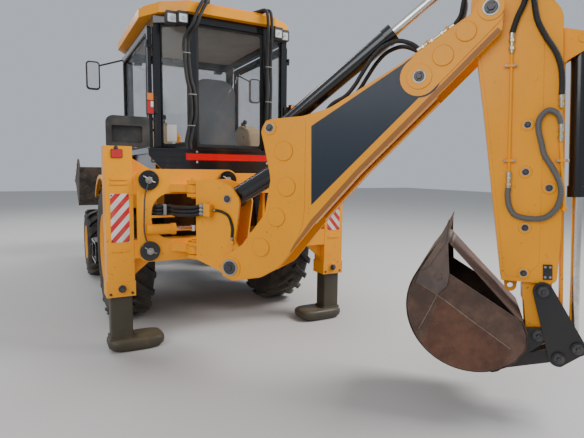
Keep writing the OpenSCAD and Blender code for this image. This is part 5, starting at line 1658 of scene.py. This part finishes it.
@dataclass
class Loader:
    """Arms, cylinders and bucket at the front."""

    arm_x: float = 456.0
    arm_pin: tuple[float, float] = (1000.0, 1500.0)
    arm_drop: float = -12.6
    shovel_pin: tuple[float, float] = (3195.8, 1009.2)
    shovel_tilt: float = 30.0
    shovel_half: float = 1100.0

    def on_shovel(self, along: float, above: float) -> Array:
        """A point given in the bucket's own directions.

        Args:
            along, above: its place from the bucket's pin.
        Returns:
            The point in the machine's plane.
        """
        return turned_point(self.shovel_pin, self.shovel_tilt, along, above)

    def build(self) -> None:
        """Pin caps on the arms, then the bucket's edge, its bolts and its wear strips."""
        caps = Piece("loader_pin_caps", Coat.BOLT, "loader_arms", "black_paint")
        rings = Piece("loader_pin_rings", Coat.STEEL, "loader_arms", "grey_steel")
        for face in SIDE.both():
            for point, out in (
                ((1932.9, 1547.7), 60), (turned_point(self.arm_pin, self.arm_drop, 1100, -238), 47)
            ):
                at = face.at(*point, self.arm_x + out)
                rings.disc(at, 34, 3)
                caps.disc(at.at(0, 0, 3), 27, 6, 2).bolt(at.at(0, 0, 9), 24)
        Piece.make_all(caps, rings)
        edge = Piece("shovel_edge", Coat.WORN, "loader_bucket", "black_paint")
        bolts = Piece("shovel_bolts", Coat.STEEL, "loader_bucket", "grey_steel")
        strips = Piece("shovel_strips", Coat.SHOVEL, "loader_bucket", "black_paint")
        lip = np.array(
            [self.on_shovel(*p) for p in ((900, -211), (1062, -211), (1040, -228), (900, -228))]
        )
        edge.plate(lip, -self.shovel_half, self.shovel_half, SIDE)
        under = (*(self.on_shovel(0, -1) - self.on_shovel(0, 0)), 0)
        for x in np.linspace(-1010, 1010, 9):
            bolts.bolt(SIDE.aimed((*self.on_shovel(960, -228), x), under), 30)
        for x in (-900, -300, 300, 900):
            path = np.array(
                [self.on_shovel(*p) for p in ((260, -211), (860, -211), (860, -222), (260, -222))]
            )
            strips.plate(path, x - 40, x + 40, SIDE)
        for side in SIDE.both():
            cutter = np.array(
                [
                    self.on_shovel(*p)
                    for p in (
                        (1000, -170), (1040, -205), (940, -205), (700, 90), (372, 590), (420, 590),
                        (760, 96),
                    )
                ]
            )
            edge.plate(cutter, self.shovel_half, self.shovel_half + 9, side)
            for p in ((930, -150), (820, 0), (640, 215), (480, 440)):
                bolts.bolt(side.at(*self.on_shovel(*p), self.shovel_half + 9), 24)
        Piece.make_all(edge, bolts, strips)

    def dress(self) -> None:
        """Yellow arms, black barrels, chromed rods, dark bucket."""
        dress(Coat.YELLOW, "loader_arms")
        dress(Coat.BLACK, "lift_barrels", "tilt_barrels")
        dress(Coat.CHROME, "lift_rods", "tilt_rods")
        dress(Coat.SHOVEL, "loader_bucket")


@dataclass
class Cab:
    """Base, posts, roof, panes, doors and what stands inside."""

    back: float = 951.0
    front: float = 850.0
    half: float = 682.0
    rear_half: float = 393.0
    door_back: float = 770.0
    sill: float = 1776.0
    post: float = 58.0
    panel_y: float = 1009.0
    wheel_lean: float = 25.0
    seat_steps: int = 20
    seat_voxel: float = 0.009
    seat_shrink: float = 0.05
    seat_pressure: float = 4.0
    seat_swell: float = 0.02
    seat_margin: float = 0.001
    seam_half: float = 0.006
    seam_depth: float = 0.007
    seams_across: tuple[float, ...] = (-0.15, 0.15)
    seams_up: tuple[float, ...] = (0.30, 0.50, 0.68)
    seat_base: tuple[float, float] = (0.06, 0.14)

    def build(self) -> None:
        """Makes the rear panel's trim, seals, lamps' faces, doors' handles, roof and inside."""
        self.rear_panel()
        self.seals()
        self.lamp_faces()
        self.door_trim()
        self.mirror_faces()
        self.roof_trim()
        self.consoles()
        self.inside()
        self.seat()

    def rear_panel(self) -> None:
        """Red band, recess, ledge lip and pale bolts on the dark panel across the back."""
        y = self.panel_y
        band = Piece("rear_band", Coat.RED, "machine", "plastic")
        band.plate(rounded_box(-459, 470, 1650, 1712, 4), y, y + 1.6, REAR)
        slot = Piece("rear_panel_frames", Coat.BLACK, "machine", "black_paint")
        for s in (-1, 1):
            slot.ring(
                rounded_box(s * 474, s * 770, 1622, 1690, 10),
                rounded_box(s * 484, s * 760, 1632, 1680, 6), y, y + 6, REAR,
            )
        slot.plate(rounded_box(-786, 786, 1738, 1753, 6), y, y + 10, REAR)
        bolts = Piece("rear_panel_bolts", Coat.BRIGHT, "machine", "grey_steel")
        for x in (-355, 355):
            for z in (1728, 1632):
                bolts.disc(REAR.at(x, z, y), 11, 4, 1.5, 20)
        Piece.make_all(band, slot, bolts)

    def quarter(self, sign: int) -> Axes:
        """Axes on a rear corner pane: across from the door's post to the rear post, up, and outwards.

        Args:
            sign: -1 for the left one and 1 for the right one.
        Returns:
            The axes.
        """
        a = np.array([(self.half - self.post) * sign, -self.door_back + self.post * 0.4, 0])
        b = np.array([(self.rear_half + 1.2) * sign, -self.back + self.post * 0.4, 0])
        d = (b - a) / np.linalg.norm(b - a)
        return MACHINE.at(*a).turned(d, (0, 0, 1), (-d[1] * sign, d[0] * sign, 0))

    def seals(self) -> None:
        """Black rubber round every pane, and the blank label on the left corner pane."""
        low, high = self.sill, ROOF - 70
        rubber = Piece("window_seals", Coat.SEAL, "machine", "plastic")
        for axes, wide, face in (
            (REAR, self.rear_half - self.post, self.back - self.post / 2),
            (AHEAD, self.half - self.post, self.front - self.post / 2 + 8),
        ):
            rubber.ring(
                rounded_box(-wide - 1, wide + 1, low - 1, high + 1, 12),
                rounded_box(-wide + 24, wide - 24, low + 26, high - 24, 26),
                face, face + 14, axes,
            )
        label = Piece("blank_label", Coat.WHITE, "machine", "plastic")
        for s in (-1, 1):
            pane = self.quarter(s)
            rubber.ring(
                rounded_box(0, 292, low - 1, high + 1, 10),
                rounded_box(22, 268, low + 26, high - 24, 22), -12, 6, pane)
        label.plate(rounded_box(64, 160, 1825, 1978, 5), 0.6, 1.4, self.quarter(-1))
        Piece.make_all(label, rubber)
        for name, s in (("left", -1), ("right", 1)):
            side = SIDE.flipped(s)
            y0, y1 = -self.door_back + self.post + 8, self.front - self.post - 8
            z0, z1 = self.sill - 60, ROOF - 78
            seal = Piece(f"door_seal_{name}", Coat.SEAL, f"door_{name}", "plastic")
            seal.ring(
                rounded_box(y0 + 54, y1 - 54, z0 + 54, z1 - 54, 46),
                rounded_box(y0 + 76, y1 - 76, z0 + 76, z1 - 76, 34),
                self.half + 28, self.half + 45, side,
            )
            seal.make()

    def lamp_faces(self) -> None:
        """Bezel, bowl and lens on the work lamps; orange, red and clear lenses on the tail lamps."""
        bezels = Piece("lamp_bezels", Coat.PLASTIC, "machine", "plastic")
        lenses = Piece("lamp_lenses", Coat.CLEAR, "machine", "lens")
        bulbs = Piece("lamp_bulbs", Coat.BRIGHT, "machine", "lens")
        z = ROOF - 62
        for s in (-1, 1):
            for axes, x, y in (
                (REAR, s * 470, self.back + 60), (REAR, s * 560, 966), (AHEAD, s * 520, self.front + 110)
            ):
                at = axes.at(x, z, y)
                bezels.ring(
                    rounded_box(-46, 46, -46, 46, 10),
                    rounded_box(-37, 37, -37, 37, 8), -2, 10, at,
                )
                lenses.plate(rounded_box(-37, 37, -37, 37, 8), 0, 5, at)
                bulbs.tube_ring(at.at(0, 0, 5), 13, 19, 3).disc(at.at(0, 0, 5), 7, 4, 2)
        for name, coat, low, high in (
            ("tail_amber", Coat.AMBER, 2186, 2248), ("tail_red", Coat.REDLENS, 2064, 2182)
        ):
            lens = Piece(name, coat, "machine", "lens")
            for s in (-1, 1):
                lens.plate(rounded_box(s * 706, s * 760, low, high, 6), 832, 844, REAR)
            lens.make()
        clear = Piece("tail_clear", Coat.CLEAR, "machine", "lens")
        for s in (-1, 1):
            clear.plate(rounded_box(s * 708, s * 730, 2124, 2176, 4), 844, 847, REAR)
        Piece.make_all(bezels, lenses, bulbs, clear)

    def door_trim(self) -> None:
        """A handle with its lock on each door."""
        for name, s in (("left", -1), ("right", 1)):
            side = SIDE.flipped(s)
            out = self.half + 42
            trim = Piece(f"door_handle_{name}", Coat.PLASTIC, f"door_{name}", "plastic")
            trim.plate(rounded_box(640, 770, 1640, 1688, 12), out, out + 10, side)
            trim.tube(
                side,
                [
                    (650, 1676, out + 8), (660, 1676, out + 26), (745, 1676, out + 28),
                    (757, 1676, out + 8),
                ],
                8,
            )
            trim.disc(side.at(752, 1650, out + 10), 10, 5)
            trim.make()

    def mirror_faces(self) -> None:
        """Silvered glass on both mirrors, which look back."""
        glass = Piece("mirror_glass", Coat.SILVER, "machine", "glass")
        for s in (-1, 1):
            glass.plate(rounded_box(s * 984, s * 1106, 2518, 2812, 26), -889, -886, REAR)
        glass.make()

    def roof_trim(self) -> None:
        """A lining under the roof and pressed ribs on top."""
        lining = Piece("roof_lining", Coat.ROOF_LINING, "machine", "plastic")
        lining.plate(rounded_box(-600, 600, -700, 780, 60), ROOF - 12, ROOF - 1, MACHINE)
        lining.make()
        ribs = Piece("roof_ribs", Coat.YELLOW, "machine", "yellow_paint")
        for x in (-420, -140, 140, 420):
            ribs.plate(
                rounded_box(x - 40, x + 40, -560, 640, 38), ROOF + 110,
                ROOF + 118, MACHINE,
            )
        ribs.make()

    def consoles(self) -> None:
        """Moulded side consoles, seat base, dash and chair shell, in place of the plain inside."""
        beige = Piece("cab_consoles", Coat.CONSOLE, "machine", "console")
        black = Piece("cab_dash", Coat.PLASTIC, "machine", "console")
        pod = rounded_outline(
            [
                (-430, 1038), (300, 1038), (300, 1560), (150, 1960), (-60, 2085), (-330, 2010),
                (-430, 1760),
            ],
            [10, 10, 60, 110, 120, 110, 60], 9,
        )
        for side in SIDE.both():
            for low, high, shrink in ((440, 596, 0.0), (430, 440, 0.02), (596, 606, 0.02)):
                line = pod + (np.array([-80, 1560]) - pod) * shrink
                beige.plate(line, low, high, side)
        beige.plate(rounded_box(-220, 220, -330, 190, 40), 1037, 1414, MACHINE)
        black.plate(rounded_box(-150, 150, 566, 762, 40), 1037, 1590, MACHINE)
        lean = math.radians(self.wheel_lean)
        column = MACHINE.aimed((0, 640, 1540), (0, -math.sin(lean), math.cos(lean)))
        black.disc(column, 46, 150, 10).disc(column.at(0, 0, 150), 30, 140, 6)
        black.disc(column.at(0, 0, 286), 52, 30, 8)
        shell = Piece("chair_shell", Coat.GREY_PLASTIC, "machine", "plastic")
        for y, grow in ((-452, 0.90), (-440, 1.0), (-424, 1.0)):
            outline = rounded_box(
                -232 * grow, 232 * grow, 1500, 2150 + 350 * grow, [60, 60, 150, 150], 10
            )
            shell.plate(outline, -y, -y + 12, REAR)
        Piece.make_all(black, shell)
        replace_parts(beige.make(), "cab_interior")

    def inside(self) -> None:
        """Steering wheel and the levers with their knobs."""
        black = Piece("cab_controls", Coat.PLASTIC, "machine", "plastic")
        lean = math.radians(self.wheel_lean)
        wheel = MACHINE.at(0, 640, 1596).turned(
            (1, 0, 0), (0, math.cos(lean), math.sin(lean)), (0, -math.sin(lean), math.cos(lean))
        )
        a = np.linspace(0, 2 * math.pi, 49)
        black.tube(
            wheel, np.column_stack([196 * np.cos(a), 196 * np.sin(a), np.full(49, 240)]), 15, count=64
        )
        for k in range(3):
            b = math.radians(90 + 120 * k)
            black.tube(
                wheel,
                [
                    (0, 0, 242), (100 * math.cos(b), 100 * math.sin(b), 242),
                    (190 * math.cos(b), 190 * math.sin(b), 240),
                ],
                9,
            )
        for x, y in ((-500, 150), (-540, 60), (500, 150), (540, 60), (460, -200), (-460, -200)):
            base = MACHINE.at(x, y, 1950 if y < 100 else 1850)
            black.tube(base, [(0, 0, -60), (0, 14, 40), (0, 30, 150)], 7)
            black.disc(base.at(0, 30, 140), 22, 46, 10, 16).disc(base.at(0, 0, -20), 36, 22, 8, 16)
        black.make()

    def seat(self) -> None:
        """The chair: the CAD's solid, shrunk, remeshed and blown up by cloth pressure.

        No point moves further than the largest swell, and none leaves the solid's box.
        """
        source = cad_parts["seat_cushion"]
        low, high = (np.array(v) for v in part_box("seat_cushion"))
        mesh = source.data.copy()
        mesh.name = "operator_chair"
        obj = bpy.data.objects.new("operator_chair", mesh)
        bpy.context.scene.collection.objects.link(obj)
        points, middle = read_points(mesh), (low + high) / 2
        mesh.vertices.foreach_set("co", (middle + (points - middle) * (1 - self.seat_shrink)).ravel())
        remesh = obj.modifiers.new("voxels", "REMESH")
        remesh.mode, remesh.voxel_size = "VOXEL", self.seat_voxel
        apply_modifiers(obj)
        start = read_points(obj.data)
        cloth = obj.modifiers.new("cloth", "CLOTH")
        cloth.settings.use_pressure = True
        cloth.settings.uniform_pressure_force = self.seat_pressure
        cloth.settings.effector_weights.gravity = 0.0
        for step in range(1, self.seat_steps + 1):
            bpy.context.scene.frame_set(step)
        apply_modifiers(obj)
        bpy.context.scene.frame_set(1)
        moved = read_points(obj.data) - start
        size = np.linalg.norm(moved, axis=1)[:, None]
        held = start + moved * np.minimum(1, self.seat_swell / np.maximum(size, 1e-9))
        held = self.seams(held, low, high)
        held = np.clip(held, low + self.seat_margin, high - self.seat_margin)
        obj.data.vertices.foreach_set("co", held.ravel())
        obj.data.shade_smooth()
        smooth = obj.modifiers.new("smooth", "SUBSURF")
        smooth.levels = smooth.render_levels = 1
        obj.data.materials.clear()
        obj.data.materials.append(Coat.CLOTH.value.material())
        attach(obj, "machine")
        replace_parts(obj, "seat_cushion")
        LOG.info("operator_chair: %d points", len(obj.data.vertices))

    def seams(self, points: Array, low: Array, high: Array) -> Array:
        """Sinks two upright seams and three cross seams by a Gaussian of the distance to each.

        Args:
            points: (n, 3) places.
            low: the chair box's lowest corner.
            high: its highest corner.
        Returns:
            The places, pulled towards the chair's middle along Y and Z at the seams.
        """
        middle = (low + high) / 2
        x, z = points[:, 0] - middle[0], points[:, 2] - low[2]
        depth = sum(np.exp(-(((x - d) / self.seam_half) ** 2)) for d in self.seams_across)
        depth = depth + sum(np.exp(-(((z - h) / self.seam_half) ** 2)) for h in self.seams_up)
        pull = self.seam_depth * np.minimum(depth, 1)
        foot, top = self.seat_base
        out = points.copy()
        out[:, 1] -= pull * np.sign(points[:, 1] - middle[1]) * (z > top)
        out[:, 2] -= pull * (z > foot) * (z < top)
        return out

    def dress(self) -> None:
        """Dark frame, yellow roof, tinted panes, beige consoles."""
        dress(Coat.BLACK, "cab_base", "cab_frame", "door_left", "door_right")
        dress(Coat.YELLOW, "cab_roof")
        dress(Coat.GLASS, "cab_glass", "door_glass_left", "door_glass_right")
        dress(Coat.CONSOLE, "cab_interior")
        dress(Coat.CLOTH, "seat_cushion")
        dress(Coat.PLASTIC, "lamps", "mirrors")


@dataclass
class Hoses:
    """Hydraulic hoses, pipes and their fittings, which take the place of the CAD's plain runs."""

    thin: float = 15.0
    pipe: float = 10.0
    gap: float = 0.3

    def build(self) -> None:
        """Makes each group of hoses with its ferrules and ties."""
        self.cab_runs()
        self.carriage_bundle()
        self.foot_hose()
        self.boom_runs()
        self.dipper_runs()

    def finish(self, node: str, *pieces: Piece) -> None:
        """Makes a group's pieces and says which node they replace.

        Args:
            node: the CAD's plain run.
            pieces: what stands for it.
        """
        for piece in pieces:
            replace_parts(piece.make(), node)

    def cab_runs(self) -> None:
        """Two pairs of hoses down the rear posts, with a tie where each pair is strapped."""
        top = ROOF + 112 + self.thin + self.gap
        foot = 1752.3
        left = [
            (-200, -840, top), (-240, -950, top), (-275, -1052, 3068), (-340, -1066, 2951),
            (-381, -1062, 2836), (-436, -1016, 2741), (-440, -992, 2618), (-419, -992, 2388),
            (-388, -992, 2265), (-377, -992, 2066), (-406, -992, 1934), (-430, -992, foot + 70),
            (-430, -992, foot + 30), (-430, -992, foot),
        ]
        right = [
            (250, -840, top), (290, -950, top), (335, -1056, 3070), (352, -1066, 2940),
            (354, -1060, 2830), (366, -1010, 2629), (380, -992, 2387), (376, -992, 2167),
            (372, -992, 1990), (368, -992, foot + 70), (368, -992, foot + 30), (368, -992, foot),
        ]
        rubber = Piece("cab_hoses", Coat.HOSE, "machine", "hose")
        steel = Piece("cab_hose_ends", Coat.STEEL, "machine", "grey_steel")
        ties = Piece("cab_hose_ties", Coat.TIE, "machine", "plastic")
        for route, ties_z in ((left, (2600, 2240, 1960)), (right, (2560, 2230, 1880))):
            points = np.array(route, float)
            for i in (-1, 1):
                shifted = points + [i * 0.66 * 2 * self.thin, 0, 0]
                rubber.tube(MACHINE, shifted, self.thin, count=90)
                steel.ferrule(MACHINE.aimed(shifted[0] + [0, -2, 0], (0, 1, 0)), self.thin)
            for z in ties_z:
                x, y = (np.interp(z, points[::-1, 2][:11], points[::-1, k][:11]) for k in (0, 1))
                ties.ring(
                    rounded_box(x - 37, x + 37, y - 18, y + 18, 17),
                    rounded_box(x - 34, x + 34, y - 15, y + 15, 14), z, z + 7, MACHINE,
                )
        ties.make()
        self.finish("hoses_cab", rubber, steel)

    def carriage_bundle(self) -> None:
        """Six hoses from the carriage to the kingpost, their grey strap, and the thin cable."""
        steel = Piece("carriage_hose_ends", Coat.STEEL, "kingpost", "grey_steel")
        x0, y0 = SLEW_AXIS
        pitch = 2 * self.thin + self.gap

        def at(r: float, z: float, off: float) -> tuple[float, float, float]:
            """A point of the arm's plane in the machine's directions.

            Args:
                r, z, off: its place in that plane and across from it.
            Returns:
                Its place from the machine's origin.
            """
            return (
                x0 + r * math.sin(SLEW) - off * math.cos(SLEW),
                y0 - r * math.cos(SLEW) - off * math.sin(SLEW), z,
            )

        bend = Bend(
            "kingpost", tuple(MACHINE.place((x0 - 200, y0 + 198, 1215))),
            tuple(MACHINE.place(at(110, 1215, 150))),
        )
        rubber = Piece("carriage_hoses", Coat.HOSE, "carriage", "hose", bend)
        for i in range(3):
            for j in range(2):
                z = 1170 + self.thin + self.gap + i * pitch
                y, b = y0 + 198 + (j - 0.5) * pitch, j * pitch
                end, far = 1212 + i * 31, 135.5 + b
                route = [
                    (x0 - 220, y0 + 278 - b, z), (x0 - 262, y0 + 272 - b, z),
                    (x0 - 300 + b * 0.6, y0 + 236 - b * 0.4, z), (x0 - 268, y, z), (x0 - 240, y, z),
                    (x0 - 165, y, z), at(-120, z + 4, 92 + b), at(0, z + 8, 134 + b),
                    at(90, z + 12, far), at(152, end, far), at(172, end, far), at(191.7, end, far),
                ]
                rubber.tube(MACHINE, route, self.thin, count=60)
                steel.ferrule(SWING.aimed((190, end, far), (-1, 0, 0)), self.thin)
        strap = Piece("hose_strap", Coat.TIE, "carriage", "plastic")
        strap.ring(
            rounded_box(y0 + 163, y0 + 232, 1168, 1264, 16),
            rounded_box(y0 + 166, y0 + 229, 1171, 1261, 14), x0 - 232, x0 - 206, SIDE,
        )
        strap.make()
        cable = Piece("carriage_cable", Coat.BRAID, "carriage", "hose")
        path = ((-838, 1440), (-866, 1339), (-876, 1178), (-876, 1032), (-846, 911))
        cable.tube(MACHINE, [(x, -1214.6, z) for x, z in path], 6.5, count=70)
        cable.make()
        steel.make()
        self.finish("hoses_carriage", rubber)

    def foot_hose(self) -> None:
        """The hose from the kingpost's fittings to the boom's foot."""
        rubber = Piece("foot_hose", Coat.HOSE, "kingpost", "hose")
        steel = Piece("foot_hose_ends", Coat.STEEL, "kingpost", "grey_steel")
        off = 131.3
        radius = 11.0
        route = [
            (250.3, 1240), (270, 1240), (292, 1240), (339, 1230), (395, 1196), (426, 1112), (424, 1044),
            (424, 1024), (424, 1005.3),
        ]
        rubber.tube(SWING, [(*p, off) for p in route], radius, count=50)
        steel.ferrule(SWING.aimed((251, 1240, off), (1, 0, 0)), radius)
        steel.ferrule(SWING.aimed((424, 1006, off), (0, 1, 0)), radius)
        self.finish("hoses_kingpost", rubber, steel)

    def boom_runs(self) -> None:
        """Two hoses from inside the boom to the steel unions on its top, and on to the dipper's pin."""
        span = [tuple(SWING.place((*boom_point(*p), 0))) for p in ((2400, 118), (2600, 330))]
        rubber = Piece("boom_hoses", Coat.HOSE, "boom", "hose", Bend("dipper_outer", *span))
        steel = Piece("boom_hose_ends", Coat.BRASS, "boom", "grey_steel")
        clamps = Piece("boom_pipe_clamps", Coat.YELLOW_ARM, "boom", "yellow_paint")
        spread = 78
        first = [
            (1306.3, 329), (1324, 329), (1346, 329), (1394, 342), (1450, 340), (1543, 312), (1640, 318),
            (1727, 338), (1850, 362), (1950, 358), (2040, 310), (2084, 230), (2096, 160),
        ]
        second = [
            (2341, 108, 78), (2400, 118, 92), (2450, 150, 112), (2510, 200, 126), (2560, 275, 128),
            (2600, 330, 128),
        ]
        for s in (-1, 1):
            rubber.tube(SWING, [(*boom_point(*p), s * spread) for p in first], self.thin, count=110)
            rubber.tube(SWING, [(*boom_point(*p[:2]), s * p[2]) for p in second], self.thin, count=44)

            def line(along: float) -> tuple[float, float, float]:
                """A place on the unions' centre line, which falls towards the dipper.

                Args:
                    along: its distance from the boom's foot.
                Returns:
                    The place in the arm's axes.
                """
                return (*boom_point(along, 164 - (along - 2080) * 0.215), s * spread)

            direction = np.subtract(line(2342), line(2080))
            for start, length, radius in (
                (2080, 34, 19), (2114, 16, 21), (2130, 44, 17), (2174, 18, 21), (2192, 56, 13),
                (2248, 18, 21), (2266, 40, 17), (2306, 36, 19),
            ):
                six = 6 if radius == 21 else 20
                steel.disc(SWING.aimed(line(start), direction), radius, length, 2, six)
            for x in (2150, 2290):
                clamps.disc(SWING.aimed(line(x), direction), 27, 14, 3, 8)
        clamps.make()
        self.finish("hoses_boom", rubber, steel)

    def dipper_runs(self) -> None:
        """Hoses with a spiral guard, steel pipes and ferrules on the outer dipper's left side."""
        rubber = Piece("dipper_hoses", Coat.HOSE, "dipper_outer", "hose")
        sleeved = Piece("dipper_guarded_hose", Coat.GUARD, "dipper_outer", "hose")
        steel = Piece("dipper_pipes", Coat.BRASS, "dipper_outer", "grey_steel")
        painted = Piece("dipper_painted_pipes", Coat.YELLOW_ARM, "dipper_outer", "yellow_paint")
        far, mid, low = 121.3, 118.3, 113.3
        runs = [
            (
                [
                    (2290, 2850), (2350, 2862), (2410, 2800), (2440, 2700), (2429, 2598), (2395, 2509),
                    (2371, 2420),
                ],
                False,
            ),
            (
                [
                    (2401, 1471), (2399, 1427), (2412, 1358), (2450, 1302), (2534, 1284), (2614, 1294),
                    (2671, 1349), (2695, 1436), (2682, 1515), (2639, 1600), (2591, 1679), (2568, 1760),
                    (2550, 1831), (2550, 1892), (2580, 1938), (2613, 1946), (2652, 1918), (2671, 1864),
                ],
                True,
            ),
            (
                [
                    (2300, 2905), (2380, 2910), (2440, 2830), (2462, 2740), (2483, 2592), (2506, 2485),
                    (2554, 2388), (2610, 2300), (2645, 2212), (2660, 2110), (2661, 2036),
                ],
                False,
            ),
        ]
        for route, guarded in runs:
            run = sleeved if guarded else rubber
            run.tube(
                SWING, [(*p, far) for p in route], 17.0, count=620 if guarded else 260,
                guard=9.0 if guarded else 14.0,
            )
        for (a, b, c), (d, e, f) in (
            ((2371, 2420, far), (2376, 2300, mid)), ((2399, 1572, mid), (2401, 1471, far)),
            ((2661, 2036, far), (2666, 1960, mid)), ((2671, 1864, far), (2674, 1760, mid)),
        ):
            way = np.subtract((d, e, f), (a, b, c))
            for share, length, radius, sides in (
                (0.0, 0.3, 17, 20), (0.3, 0.14, 19.5, 6), (0.44, 0.24, 13, 20), (0.68, 0.16, 19.5, 6),
                (0.84, 0.16, 13, 20),
            ):
                at = SWING.aimed(np.add((a, b, c), way * share), way)
                steel.disc(at, radius, float(np.linalg.norm(way)) * length, 1.5, sides)
        painted.tube(
            SWING, [(2376, 2300, low), (2388, 1936, low), (2399, 1572, low)], self.pipe, count=20
        )
        painted.tube(
            SWING, [(2674, 1760, low), (2696, 1560, low), (2719, 1360, low)], self.pipe, count=20
        )
        painted.disc(SWING.at(2719, 1352, 103), 17, 24, 3, 6)
        self.finish("hoses_dipper", painted, sleeved, rubber, steel)

    def dress(self) -> None:
        """Rubber on the runs that the pieces stand for."""
        dress(Coat.HOSE, "hoses_cab", "hoses_carriage", "hoses_kingpost", "hoses_boom", "hoses_dipper")


def main() -> None:
    """Builds the camera, floor and lamps, then builds and dresses every sub-assembly in order."""
    logging.basicConfig(level=logging.INFO, format="%(message)s")
    Studio().build()
    for part in (Wheels(), Chassis(), Excavator(), Loader(), Cab(), Hoses()):
        LOG.info("-- %s", type(part).__name__)
        part.build()
        part.dress()


if __name__ == "__main__":
    main()
